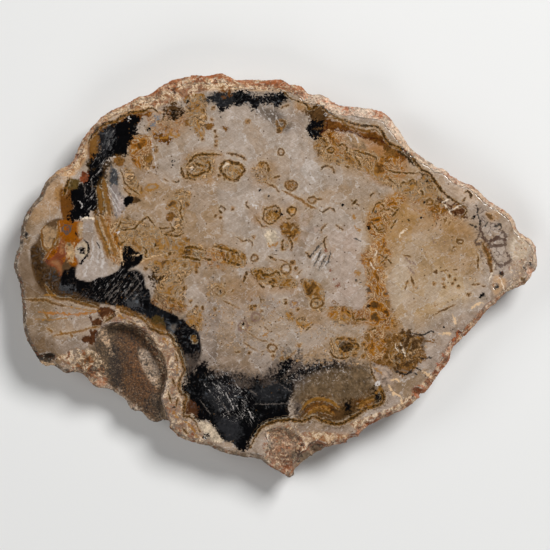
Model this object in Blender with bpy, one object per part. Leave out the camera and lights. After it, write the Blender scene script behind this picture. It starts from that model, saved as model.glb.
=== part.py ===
"""Petrified wood slice: one sawn and polished slab of agatised trunk, lying on its sawn back.

Metres, +Z up. The slab lies flat: the sawn back is at z = 0 and the polished face is at
z = THICKNESS. +X runs along the slab's greatest width, towards its pointed end.
"""

import math

import bmesh
import bpy
from mathutils import Matrix, Vector, noise

# Driving dimensions of the slab and its bark wall, in metres
WIDTH = 0.300
THICKNESS = 0.024
OUTLINE_STEP = 0.0026
FURROW_PITCH = 0.0080
FURROW_DEPTH = 0.0034
LEDGE_PITCH = 0.0140
LEDGE_DEPTH = 0.0014
WALL_LEAN = 0.0018
BACK_CHAMFER = 0.0012
CRUST_LUMP = 0.0062
CRUST_EDGE_DROP = 0.0012

# The crust falls away from the face by this share of its width
CRUST_SLOPE = 0.55

# Heights of the wall's rings below the silhouette, as shares of the thickness
WALL_LEVELS = (0.70, 0.54, 0.38, 0.22, 0.06, 0.0)

# Driving dimensions of the patches of sandy matrix, in metres
HOLLOW_DEPTH = 0.0088
HOLLOW_CLIFF = 0.0032
HOLLOW_SLOPE = 0.0110
SPUR_DEPTH = 0.0030
SPUR_SLOPE = 0.0042
MATRIX_STEP = 0.0017
MATRIX_LUMP = 0.0160
MATRIX_GRAIN = 0.0011

# The outline is laid out in picture units, and the slab's width sets the size of one unit
PICTURE_LEFT = 13.1
PICTURE_RIGHT = 537.85
PICTURE_TOP = 72.6
PICTURE_BOTTOM = 478.1
UNIT = WIDTH / (PICTURE_RIGHT - PICTURE_LEFT)

# Silhouette, clockwise from the lower left: left side, top, pointed end, lower right, underside
SILHOUETTE = (
    (22, 320), (21.5, 303), (20, 289), (17, 278), (13, 266), (15, 255), (19, 244), (21, 225),
    (28, 209), (39, 195), (44, 183), (57, 170), (70, 163), (76, 152), (80, 143), (88, 130),
    (101, 117), (112, 109), (126, 103), (139, 96), (150, 93.5), (160, 85.5), (172, 79.5),
    (191, 74.7), (206, 74.5), (222, 72.6), (236, 78.6), (250, 78.4), (268, 79.4), (281, 78),
    (290, 83.2), (302, 85), (308, 93), (323, 94), (337, 103.5), (351, 105.6), (370, 107.5),
    (386, 113), (396, 125), (409, 145), (422, 156), (437, 166.5), (444, 168), (455, 177.5),
    (470, 184), (479, 190), (489, 200.5), (502, 208), (514, 219), (518, 230), (529, 238),
    (536, 246), (536.6, 256), (537.5, 266), (530, 279), (520, 286.5), (507, 292), (497, 302.5),
    (489, 308.4), (481, 318.5), (474, 326.5), (463, 338.5), (453, 348), (449.5, 361),
    (441, 371.5), (434, 381), (427, 391.5), (417, 400), (405, 409.5), (389, 416.5),
    (377, 421.5), (362, 431.5), (357, 439), (343, 444), (330, 447), (320, 456), (305, 466),
    (292, 478), (282, 474.5), (270, 467), (258, 459), (243, 457.6), (225, 453.5), (210, 447),
    (194, 443), (180, 438), (170, 429), (164, 422.5), (155, 426), (142, 416.5), (131, 414),
    (118, 401), (103, 391), (92, 386), (86, 377), (76, 372), (65, 373), (54, 366), (42, 365),
    (34, 353), (27, 341), (24, 331),
)

# Width of the rough crust between the polished face and the silhouette, at stations given as
# fractions of the way round from the first silhouette point
CRUST_STATIONS = (
    (0.00, 0.0022), (0.06, 0.0024), (0.14, 0.0030), (0.19, 0.0044), (0.27, 0.0058),
    (0.36, 0.0062), (0.42, 0.0034), (0.50, 0.0026), (0.56, 0.0024), (0.62, 0.0040),
    (0.68, 0.0030), (0.76, 0.0030), (0.83, 0.0026), (0.90, 0.0024), (1.00, 0.0022),
)

# Hollow of sandy matrix at the lower left, open to the outside; picture units
HOLLOW_RIM = (
    (96, 333), (104, 325), (116, 322), (130, 324), (142, 328), (150, 336), (157, 347),
    (164, 358), (167, 372), (165, 388), (162, 399), (166, 410), (170, 424), (172, 446),
    (140, 440), (112, 424), (88, 408), (76, 392), (84, 376), (92, 366), (97, 354), (95, 343),
)

# Patch of sandy matrix on the lower spur, worn a little below the polish; picture units
SPUR_RIM = (
    (264, 433), (272, 428), (284, 427), (294, 432), (300, 436), (303, 442), (300, 452),
    (300, 466), (310, 484), (290, 494), (270, 486), (266, 468), (266, 452), (268, 441),
)

# Shell-shaped scars broken out of the rim: centre in picture units, height above the face
# and half axes in metres, turn and tilt in degrees
SCARS = {
    "spur_scar_wide": ((305, 463), -0.001, (0.0086, 0.0062, 0.0120), 58, 24),
    "spur_scar_ridge": ((320, 452), 0.000, (0.0082, 0.0058, 0.0100), -24, 22),
    "spur_scar_small": ((353, 440), 0.000, (0.0044, 0.0036, 0.0066), 35, 18),
    "left_scar": ((46, 358), 0.001, (0.0062, 0.0030, 0.0052), 14, 14),
    "rust_scar_low": ((371, 427), 0.001, (0.0058, 0.0026, 0.0050), -32, 16),
    "rust_scar_mid": ((419, 393), 0.000, (0.0050, 0.0026, 0.0048), -30, 12),
    "rust_scar_high": ((463, 338), 0.001, (0.0066, 0.0022, 0.0044), -48, 14),
    "tip_scar": ((531, 271), 0.002, (0.0052, 0.0030, 0.0056), -58, 16),
    "notch": ((167, 427), -0.006, (0.0016, 0.0044, 0.0200), -14, 0),
}

# Pits that open on the polished face: centre in picture units, half axes in metres, turn
PITS = {
    "pit_left": ((26, 235), (0.0013, 0.0016, 0.0020), -20),
    "pit_spur": ((301.5, 445), (0.0018, 0.0013, 0.0022), 30),
    "pit_under": ((206, 436), (0.0020, 0.0013, 0.0020), -15),
    "pit_tip_upper": ((501.5, 274.5), (0.0014, 0.0022, 0.0024), -20),
    "pit_tip_lower": ((496, 286), (0.0018, 0.0020, 0.0016), 15),
    "pit_crust": ((171, 90), (0.0026, 0.0016, 0.0022), -30),
    "pit_bark": ((158, 356), (0.0024, 0.0034, 0.0040), 40),
}

ROCK_COLOR = (0.36, 0.30, 0.24, 1.0)
ROCK_ROUGHNESS = 0.45


def clear_scene():
    """Removes whatever the scene holds."""
    for item in list(bpy.data.objects):
        bpy.data.objects.remove(item, do_unlink=True)


def place(point):
    """Turns a point of the layout into metres, with the outline centred on the origin."""
    middle_x = (PICTURE_LEFT + PICTURE_RIGHT) / 2
    middle_y = (PICTURE_TOP + PICTURE_BOTTOM) / 2
    return Vector(((point[0] - middle_x) * UNIT, (middle_y - point[1]) * UNIT))


def curve_through(points, step):
    """Closed smooth curve through the points, as evenly spaced places about one step apart."""
    dense = []
    count = len(points)
    for i in range(count):
        a, b, c, d = (points[(i + k) % count] for k in (-1, 0, 1, 2))
        for k in range(12):
            t = k / 12
            dense.append(0.5 * (2 * b + (c - a) * t + (2 * a - 5 * b + 4 * c - d) * t * t
                                + (3 * b - a - 3 * c + d) * t ** 3))
    lengths = [(dense[(i + 1) % len(dense)] - p).length for i, p in enumerate(dense)]
    total = sum(lengths)
    wanted = round(total / step)
    places = []
    travelled = 0.0
    for i, length in enumerate(lengths):
        while len(places) < wanted and len(places) * total / wanted < travelled + length:
            share = (len(places) * total / wanted - travelled) / length
            places.append(dense[i].lerp(dense[(i + 1) % len(dense)], share))
        travelled += length
    return places


def outward_normals(places, reach=3):
    """Outward directions of a clockwise outline, each from neighbours some steps away."""
    count = len(places)
    normals = []
    for i in range(count):
        along = places[(i + reach) % count] - places[(i - reach) % count]
        normals.append(Vector((-along.y, along.x)).normalized())
    return normals


def crust_width(share):
    """Width of the rough crust at a fraction of the way round."""
    for (a, width_a), (b, width_b) in zip(CRUST_STATIONS, CRUST_STATIONS[1:]):
        if share <= b:
            blend = (share - a) / (b - a)
            return width_a + (width_b - width_a) * blend
    return CRUST_STATIONS[-1][1]


def furrow(point, height):
    """Depth of the bark's furrows, which run down the wall with the grain, and of its ledges."""
    along_grain = Vector((point.x, point.y, height * 0.14)) / FURROW_PITCH
    groove = 1 - abs(noise.noise(along_grain * 0.5)) * 2.4
    thread = noise.noise(along_grain + Vector((5.2, 1.3, 0.0)))
    ledge = noise.noise(Vector((point.x, point.y, height * 1.5)) / LEDGE_PITCH)
    depth = FURROW_DEPTH * (0.55 * groove + 0.35 * thread) + LEDGE_DEPTH * (0.6 + ledge)
    return max(0.0, depth)


def wall_profile(point, crust):
    """Insets from the silhouette with their heights, from the polished edge down to the back."""
    rough = noise.noise(point.to_3d() / CRUST_LUMP)
    drop = CRUST_EDGE_DROP + CRUST_SLOPE * crust * (1 + 0.5 * rough)
    profile = [
        (crust * (1 + 0.22 * rough), THICKNESS),
        (crust * (0.52 - 0.30 * rough), THICKNESS - drop * (0.42 + 0.25 * rough)),
        (0.0, THICKNESS - drop),
    ]
    for level in WALL_LEVELS:
        height = THICKNESS * level
        chamfer = BACK_CHAMFER if height == 0 else 0.0
        profile.append((WALL_LEAN * (1 - level) + furrow(point, height) + chamfer, height))
    return profile


def wall_rings(places, normals):
    """Rings of places from the polished edge, over the crust and down the wall to the back."""
    columns = []
    for i, (point, normal) in enumerate(zip(places, normals)):
        column = []
        for inset, height in wall_profile(point, crust_width(i / len(places))):
            spot = point - normal * inset
            column.append(Vector((spot.x, spot.y, height)))
        columns.append(column)
    return list(zip(*columns))


def object_from(shape, name):
    """Object that holds a finished bmesh."""
    bmesh.ops.recalc_face_normals(shape, faces=shape.faces)
    mesh = bpy.data.meshes.new(name)
    shape.to_mesh(mesh)
    shape.free()
    made = bpy.data.objects.new(name, mesh)
    bpy.context.collection.objects.link(made)
    return made


def skin(rings, name):
    """Closed mesh over a stack of rings, capped at both ends, as a new object."""
    shape = bmesh.new()
    loops = [[shape.verts.new(spot) for spot in ring] for ring in rings]
    count = len(loops[0])
    for upper, lower in zip(loops, loops[1:]):
        for i in range(count):
            j = (i + 1) % count
            shape.faces.new((upper[i], upper[j], lower[j], lower[i]))
    shape.faces.new(list(reversed(loops[0])))
    shape.faces.new(loops[-1])
    return object_from(shape, name)


def make_guide(cutter):
    """Marks an object as a cutter: drawn as wire and never rendered."""
    cutter.hide_render = True
    cutter.display_type = "WIRE"
    return cutter


def closest_on(a, b, point):
    """Place on the straight line from a to b that is closest to the point."""
    along = b - a
    share = (point - a).dot(along) / along.length_squared
    return a + along * min(1.0, max(0.0, share))


def depth_inside(point, rim):
    """Distance from a place to the rim's edge: positive inside the rim, negative outside."""
    nearest = math.inf
    inside = False
    for a, b in zip(rim, rim[1:] + rim[:1]):
        nearest = min(nearest, (point - closest_on(a, b, point)).length)
        if (a.y > point.y) != (b.y > point.y):
            if point.x < a.x + (b.x - a.x) * (point.y - a.y) / (b.y - a.y):
                inside = not inside
    return nearest if inside else -nearest


def floor_depth(spot, inset, width, depth):
    """Depth of a matrix floor at a place some way inside its rim, negative outside the rim."""
    fall = min(1.0, max(-1.0, inset / width))
    lump = noise.noise(Vector((spot.x, spot.y, 0.3)) / MATRIX_LUMP)
    crumb = noise.noise(Vector((spot.x, spot.y, 1.7)) / (MATRIX_STEP * 2.2))
    bowl = depth * math.sin(fall * math.pi / 2) * (0.80 + 0.55 * lump)
    return bowl + MATRIX_GRAIN * crumb * abs(fall)


def matrix_bed(name, rim, depth, slope_width):
    """Cutter whose underside is the lumpy, grainy floor of a patch of sandy matrix."""
    edge = curve_through([place(p) for p in rim], OUTLINE_STEP)
    low = Vector((min(p.x for p in edge), min(p.y for p in edge)))
    high = Vector((max(p.x for p in edge), max(p.y for p in edge)))
    middle = (low + high) / 2
    cells_x = round((high.x - low.x) / MATRIX_STEP) + 2
    cells_y = round((high.y - low.y) / MATRIX_STEP) + 2
    shape = bmesh.new()
    bmesh.ops.create_grid(shape, x_segments=cells_x, y_segments=cells_y, size=0.5)
    for vert in shape.verts:
        vert.co.x = middle.x + vert.co.x * cells_x * MATRIX_STEP
        vert.co.y = middle.y + vert.co.y * cells_y * MATRIX_STEP
        spot = vert.co.xy
        width = slope_width((spot - middle).normalized())
        vert.co.z = THICKNESS - floor_depth(spot, depth_inside(spot, edge), width, depth)
    lid = bmesh.ops.extrude_face_region(shape, geom=shape.faces[:])
    for item in lid["geom"]:
        if isinstance(item, bmesh.types.BMVert):
            item.co.z = THICKNESS + depth * 2
    return make_guide(object_from(shape, name))


def dent(name, centre, half_axes, turn, tilt, lumps):
    """Cutter for one broken or worn dent: a faceted, slightly lumpy ellipsoid."""
    size = Matrix.Diagonal((*half_axes, 1.0))
    spin = Matrix.Rotation(math.radians(turn), 4, "Z") @ Matrix.Rotation(math.radians(tilt), 4, "Y")
    shape = bmesh.new()
    bmesh.ops.create_icosphere(shape, subdivisions=2, radius=1.0)
    for vert in shape.verts:
        swell = 1 + lumps * noise.noise(vert.co * 2.3 + centre * 90)
        vert.co = centre + spin @ size @ (vert.co * swell)
    return make_guide(object_from(shape, name))


def cut(body, cutter):
    """Takes one cutter's volume out of the slab."""
    step = body.modifiers.new(cutter.name, "BOOLEAN")
    step.operation = "DIFFERENCE"
    step.solver = "EXACT"
    step.object = cutter


def hollow_slope(way):
    """Width of the hollow's side: a cliff towards the heartwood, a long slope on the left."""
    towards_heart = max(0.0, min(1.0, 0.5 + 0.9 * way.x + 0.5 * way.y))
    return HOLLOW_SLOPE + (HOLLOW_CLIFF - HOLLOW_SLOPE) * towards_heart


def stone(name, color, roughness):
    """Material of the slab."""
    made = bpy.data.materials.new(name)
    made.use_nodes = True
    shader = made.node_tree.nodes["Principled BSDF"]
    shader.inputs["Base Color"].default_value = color
    shader.inputs["Roughness"].default_value = roughness
    shader.inputs["Metallic"].default_value = 0.0
    return made


def slab():
    """The whole slice as one solid: lofted wall, polished face and sawn back, then its dents."""
    places = curve_through([place(p) for p in SILHOUETTE], OUTLINE_STEP)
    body = skin(wall_rings(places, outward_normals(places)), "petrified_wood_slice")
    body.data.materials.append(stone("agatised_wood", ROCK_COLOR, ROCK_ROUGHNESS))
    body.data.shade_smooth()
    body.data.set_sharp_from_angle(angle=math.radians(32))

    cut(body, matrix_bed("sand_hollow", HOLLOW_RIM, HOLLOW_DEPTH, hollow_slope))
    cut(body, matrix_bed("spur_matrix", SPUR_RIM, SPUR_DEPTH, lambda way: SPUR_SLOPE))
    for name, (centre, rise, half_axes, turn, tilt) in SCARS.items():
        middle = place(centre).to_3d() + Vector((0, 0, THICKNESS + rise))
        cut(body, dent(name, middle, half_axes, turn, tilt, 0.22))
    for name, (centre, half_axes, turn) in PITS.items():
        middle = place(centre).to_3d() + Vector((0, 0, THICKNESS))
        cut(body, dent(name, middle, half_axes, turn, 0, 0.3))


clear_scene()
slab()
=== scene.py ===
"""Petrified wood slice: the looks of one polished slab of agatised trunk, and its studio stage."""

import math

import bpy
import numpy as np
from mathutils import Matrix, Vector


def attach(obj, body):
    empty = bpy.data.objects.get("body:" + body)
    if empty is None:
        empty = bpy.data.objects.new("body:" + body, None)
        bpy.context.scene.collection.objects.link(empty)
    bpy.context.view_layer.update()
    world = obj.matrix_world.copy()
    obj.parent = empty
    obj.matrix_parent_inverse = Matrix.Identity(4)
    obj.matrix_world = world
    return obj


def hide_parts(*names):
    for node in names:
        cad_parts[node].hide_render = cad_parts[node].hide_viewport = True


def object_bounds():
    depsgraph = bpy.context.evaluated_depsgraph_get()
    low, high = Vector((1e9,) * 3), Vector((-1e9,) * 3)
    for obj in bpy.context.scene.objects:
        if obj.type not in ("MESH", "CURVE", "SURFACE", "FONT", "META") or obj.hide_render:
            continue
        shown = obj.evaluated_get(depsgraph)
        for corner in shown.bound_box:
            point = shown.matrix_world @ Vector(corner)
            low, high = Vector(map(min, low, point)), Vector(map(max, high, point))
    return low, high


bl_info = {
    "name": "Petrified Wood Slice",
    "version": (1, 0, 0),
    "blender": (4, 5, 0),
    "location": "View3D > Sidebar > Petrified Wood",
    "description": "Models and finishes a polished slice of petrified wood, with its stage",
    "category": "Add Mesh",
}

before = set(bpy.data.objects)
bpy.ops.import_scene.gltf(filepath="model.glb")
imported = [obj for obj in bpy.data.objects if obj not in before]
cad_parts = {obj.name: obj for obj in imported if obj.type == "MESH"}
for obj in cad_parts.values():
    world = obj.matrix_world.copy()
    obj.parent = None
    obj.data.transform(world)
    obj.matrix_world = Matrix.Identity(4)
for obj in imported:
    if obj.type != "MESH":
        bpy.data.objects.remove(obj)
CAD_LOW, CAD_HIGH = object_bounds()

SLAB = "petrified_wood_slice"
PIECE = "polished_slice"
FACE = CAD_HIGH.z

# The markings are laid out in small units of their own, x to the right and y down, and the
# slab's box sets where they lie and how large one unit is
LAYOUT_LEFT = 13.1
LAYOUT_RIGHT = 537.85
LAYOUT_TOP = 72.6
UNIT = (CAD_HIGH.x - CAD_LOW.x) / (LAYOUT_RIGHT - LAYOUT_LEFT)

# Colours of the stone, as red, green and blue out of 255
PALETTE = {
    "rind": (150, 130, 112),
    "rind_pale": (202, 176, 152),
    "rind_warm": (168, 140, 110),
    "rind_deep": (122, 100, 76),
    "rind_cool": (141, 122, 107),
    "bark_brown": (96, 74, 54),
    # Pale pink of the right crust, partly painted light where it faces the key lamp
    "blush": (226, 196, 170),
    "heart": (160, 143, 127),
    "heart_pale": (164, 148, 134),
    "heart_tan": (150, 123, 94),
    "heart_deep": (130, 112, 98),
    "heart_dark": (110, 94, 82),
    "lilac": (152, 138, 128),
    "rose": (170, 149, 134),
    "tan": (146, 118, 86),
    "cream_dull": (188, 170, 144),
    "gold": (166, 136, 98),
    "gold_pale": (184, 160, 130),
    "gold_deep": (152, 120, 82),
    "honey": (112, 76, 34),
    "ochre": (150, 104, 42),
    "amber": (158, 96, 18),
    "orange": (176, 98, 28),
    "rust": (160, 78, 38),
    "russet": (100, 60, 20),
    "chestnut": (78, 54, 28),
    "olive": (82, 64, 30),
    "umber": (52, 36, 16),
    "bistre": (36, 24, 8),
    "ink": (5, 5, 6),
    "blue_black": (20, 22, 25),
    "charcoal": (36, 36, 37),
    "slate": (70, 70, 70),
    "smoke": (98, 90, 84),
    "rim_orange": (160, 84, 32),
    "blue_grey": (104, 112, 120),
    "milk": (204, 196, 190),
    "cream": (222, 186, 144),
    "ivory": (238, 220, 196),
    "salmon": (190, 128, 92),
    "wine": (52, 14, 6),
    "mauve": (118, 92, 82),
    "mauve_dark": (80, 60, 50),
    "plate": (132, 86, 52),
    "pinkish": (172, 134, 106),
    "crust_cream": (190, 150, 108),
    "brick": (118, 62, 36),
    "liver": (74, 44, 24),
    "wing": (98, 79, 56),
    "dusk": (88, 76, 66),
    "sand_brown": (76, 48, 18),
    "sand_orange": (94, 58, 24),
    "sand_grey": (78, 62, 46),
    # Dark of the sand, used as painted shade in the hollow and along its right cliff
    "sand_dark": (26, 18, 12),
    "chalk": (160, 134, 106),
    "flame": (134, 74, 6),
    "crust_tan": (158, 116, 76),
    "chalk_deep": (76, 58, 38),
}


def table(text):
    """Entries of a table: each one's colour or kind, its numbers and its text of shapes."""
    entries = {}
    for entry in text.split(";")[:-1]:
        head, words = entry.split(":")
        name, kind, *numbers = head.split()
        entries[name] = (kind, *map(float, numbers), " ".join(words.split()))
    return entries


# Soft washes of colour over the polished face, in painting order. Each entry says its name, the
# colour, how softly the edge fades and how strongly it covers, and then its shapes, between a
# colon and a semicolon. A shape is a path of points, or ovals as x, y, two radii and a turn in
# degrees. A stroke parts two shapes
FACE_WASHES = table("""
left_rind rind_deep 7 1.0: 18,220 60,216 60,226 46,246 38,280 52,300 58,340 62,362 20,362;
left_high crust_cream 5 0.55: 30,206 44,186 66,176 64,190 58,206 46,218 32,222;
left_stain ochre 2.5 0.7: 54,190 62,186 66,192 64,216 52,222 56,206;
left_low_rind bark_brown 6 0.6: 20,250 34,262 48,292 40,300 20,296 / 20,336 50,336 58,352 50,366
    20,366 / 60,340 84,340 90,352 84,366 60,366;
upper_left_band crust_cream 2 1.0: 60,170 78,136 100,110 124,96 150,82 200,70 300,70 306,96 285,92
    250,91 205,92 160,109 131,112 104,122 90,140 86,158 70,180;
pink_top pinkish 5 0.9: 140,98 166,88 200,84 206,98 196,114 180,128 160,124 150,112;
tip_grey heart_pale 3 0.8: 484,214 500,208 512,224 508,236 506,262 514,274 500,292 490,262 486,236;
tip_rind ivory 4 0.6: 513,238 520,236 530,244 528,256 516,260 510,250;
tip_warm crust_cream 2 0.8: 486,212 496,210 500,218 490,222 / 494,276 506,280 504,296 494,294;
hollow_side chalk_deep 6 0.85: 84,354 98,334 108,342 108,384 88,386 70,374;
low_rust crust_tan 3 0.9: 300,433 316,430 345,433 354,440 340,452 300,452;
upper_right_rind rind_pale 5 0.6: 380,118 400,120 440,158 476,196 470,204 440,184 410,150 385,134;
low_right_rind rind_cool 6 0.9: 380,400 396,376 410,374 460,324 500,292 512,280 480,330 430,380
    384,412 / 290,424 340,426 340,434 290,434;
low_shade rind_deep 4 0.8: 396,384 420,370 424,388 400,400;
corner_shade liver 4 0.75: 420,176 432,180 446,196 466,210 462,220 446,214 430,204 420,192;
heart heart 2 1.0: 100,126 122,116 150,110 205,92 285,93 300,103 325,108 345,122 380,129 410,150
    437,183 466,210 478,225 485,240 492,262 486,300 470,312 440,320 425,345 400,371 372,366 384,398
    356,416 310,418 290,420 262,428 245,447 222,440 200,422 184,410 182,380 172,345 150,330 120,309
    75,296 46,290 44,270 31,262 30,245 38,225 52,218 60,205 66,185 90,160 88,145;
tan_left heart_tan 9 0.9: 125,200 150,190 180,180 205,178 216,188 222,215 212,238 180,244 150,262
    120,248 112,226;
left_brown chestnut 2.5 0.95: 34,246 39,234 45,223 58,217 64,222 60,240 60,258 76,258 76,274 66,290
    50,297 42,290 36,276 32,262;
tan_upper heart_tan 7 0.7: 125,140 150,138 155,165 180,184 160,200 140,200 126,185;
grey_left heart_deep 6 0.6: 122,165 150,170 160,182 140,180 124,176;
grey_under heart_deep 9 0.5: 205,258 240,262 250,300 236,330 205,322 196,290;
violet_top heart_pale 12 0.9: 222,104 262,108 300,130 318,165 300,205 250,190 225,160;
violet_mid heart_pale 12 0.8: 250,196 300,205 345,228 372,240 372,262 330,270 290,240 255,226;
violet_low heart_pale 10 0.5: 326,284 366,284 372,304 340,316 322,306;
cell_a heart_tan 1.5 0.75: 150,188 172,186 190,179 204,177 214,184 217,194 217,206 222,214 222,236
    210,238 196,230 186,224 172,214 150,208 130,212 128,204 140,198;
cell_b heart_pale 1.5 0.7: 219,190 232,186 252,190 262,196 262,206 256,222 262,232 250,238 232,230
    224,222 224,212 219,204 / 222,140 228,126 262,121 270,134 268,148 250,156 236,152 / 270,162
    300,150 318,166 308,186 290,192 276,182;
cell_c heart_tan 1.2 0.6: 300,197 308,204 314,214 306,226 302,222 304,210 / 318,193 340,184 352,190
    344,200 330,204 / 262,196 276,192 284,198 276,204 / 336,276 352,268 366,280 372,296 360,306
    344,304 / 204,270 228,264 240,276 226,292 208,288;
cell_d heart_deep 1.5 0.55: 290,236 318,226 322,240 312,256 296,262 288,252 / 276,205 296,196
    302,206 296,222 / 226,300 262,292 280,306 262,322 236,322 / 196,302 214,300 222,318 206,330
    194,322 / 290,290 310,300 304,318 288,312 / 300,106 306,116 300,134 286,128 284,112;
cell_e milk 1.5 0.3: 348,234 360,222 372,226 372,240 360,246 / 236,262 250,262 252,272 240,278 /
    300,168 312,160 322,172 312,184 / 330,282 346,280 352,292 338,298;
smoky_top dusk 4 1.0: 254,102 268,106 282,112 292,126 287,134 272,126 258,114;
orange_top_left crust_tan 4 0.6: 146,112 160,107 184,112 188,126 176,134 154,130;
golden_low tan 6 0.6: 396,300 430,296 436,314 420,332 396,330 / 372,262 386,262 390,290 376,292;
deep_low heart_dark 12 0.65: 188,330 225,326 262,340 285,352 280,378 240,384 212,374 196,362;
deeper_low heart_dark 7 0.8: 192,348 222,352 252,364 282,358 270,382 236,384 205,376;
tan_low heart_tan 6 0.8: 300,348 345,336 378,332 380,360 340,372 300,366;
rose_patch rose 5 0.9: 328,232 352,226 360,250 358,282 368,300 360,312 340,312 328,300 334,280
    328,256;
gold_field gold 10 1.0: 368,206 400,196 430,205 466,218 478,232 480,262 474,292 440,312 405,322
    384,320 376,290 366,250;
gold_deep_right gold_deep 8 0.9: 440,232 474,226 480,264 470,280 446,270;
gold_pale_low gold_pale 6 0.9: 386,260 405,260 408,290 396,312 386,300;
gold_pale_far gold_pale 8 0.6: 420,276 470,276 470,296 440,306 420,300;
tan_upper_right gold_deep 7 0.85: 312,140 345,150 385,142 408,158 428,176 440,196 410,190 380,184
    350,172 322,164;
orange_upper_right amber 6 0.6: 320,128 360,134 392,146 408,160 400,178 380,182 350,160 322,156;
brown_low_right chestnut 4 0.8: 368,330 384,330 400,334 424,336 426,352 418,366 404,374 386,368
    370,364 366,350;
orange_fall ochre 5 0.8: 374,206 398,192 408,200 390,220 384,240 388,256 382,270 386,300 396,330
    366,328 354,318 368,300 368,270 364,254 372,240 366,222;
golden_edge ochre 8 0.5: 384,200 440,196 470,222 470,240 430,232 396,246 392,300 400,330 380,330
    376,290;
ochre_bands ochre 5 0.7: 94,208 112,216 124,240 150,250 176,240 184,248 160,264 126,262 110,246
    98,232;
ochre_rings ochre 4 0.45: 184,152 222,152 222,180 184,182 / 250,205 282,204 284,226 254,224 /
    284,206 298,206 298,242 282,242 / 176,244 214,244 250,262 250,268 214,262 176,264 / 250,163
    275,163 275,185 252,185;
ochre_low ochre 5 0.45: 208,282 228,282 262,270 284,262 300,270 300,292 270,294 232,300 / 326,308
    350,308 352,322 330,322 / 298,310 322,310 318,330 300,330;
ochre_field ochre 5 0.8: 152,298 170,298 185,302 184,312 168,312 156,308 / 188,318 200,318 200,327
    188,327;
brown_smudge ochre 4 0.5: 300,280 318,283 323,291 318,299 306,293;
orange_patch_low ochre 5 0.7: 364,332 382,330 384,360 368,360 / 370,300 380,300 380,318 370,318;
upper_right_ochre ochre 3 0.7: 296,101 312,104 310,112 296,110 / 320,130 336,132 334,152 320,152;
left_mottle ochre 4 0.6: 129,138 150,138 152,166 134,168 / 124,184 140,186 150,196 130,198;
""")

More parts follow.
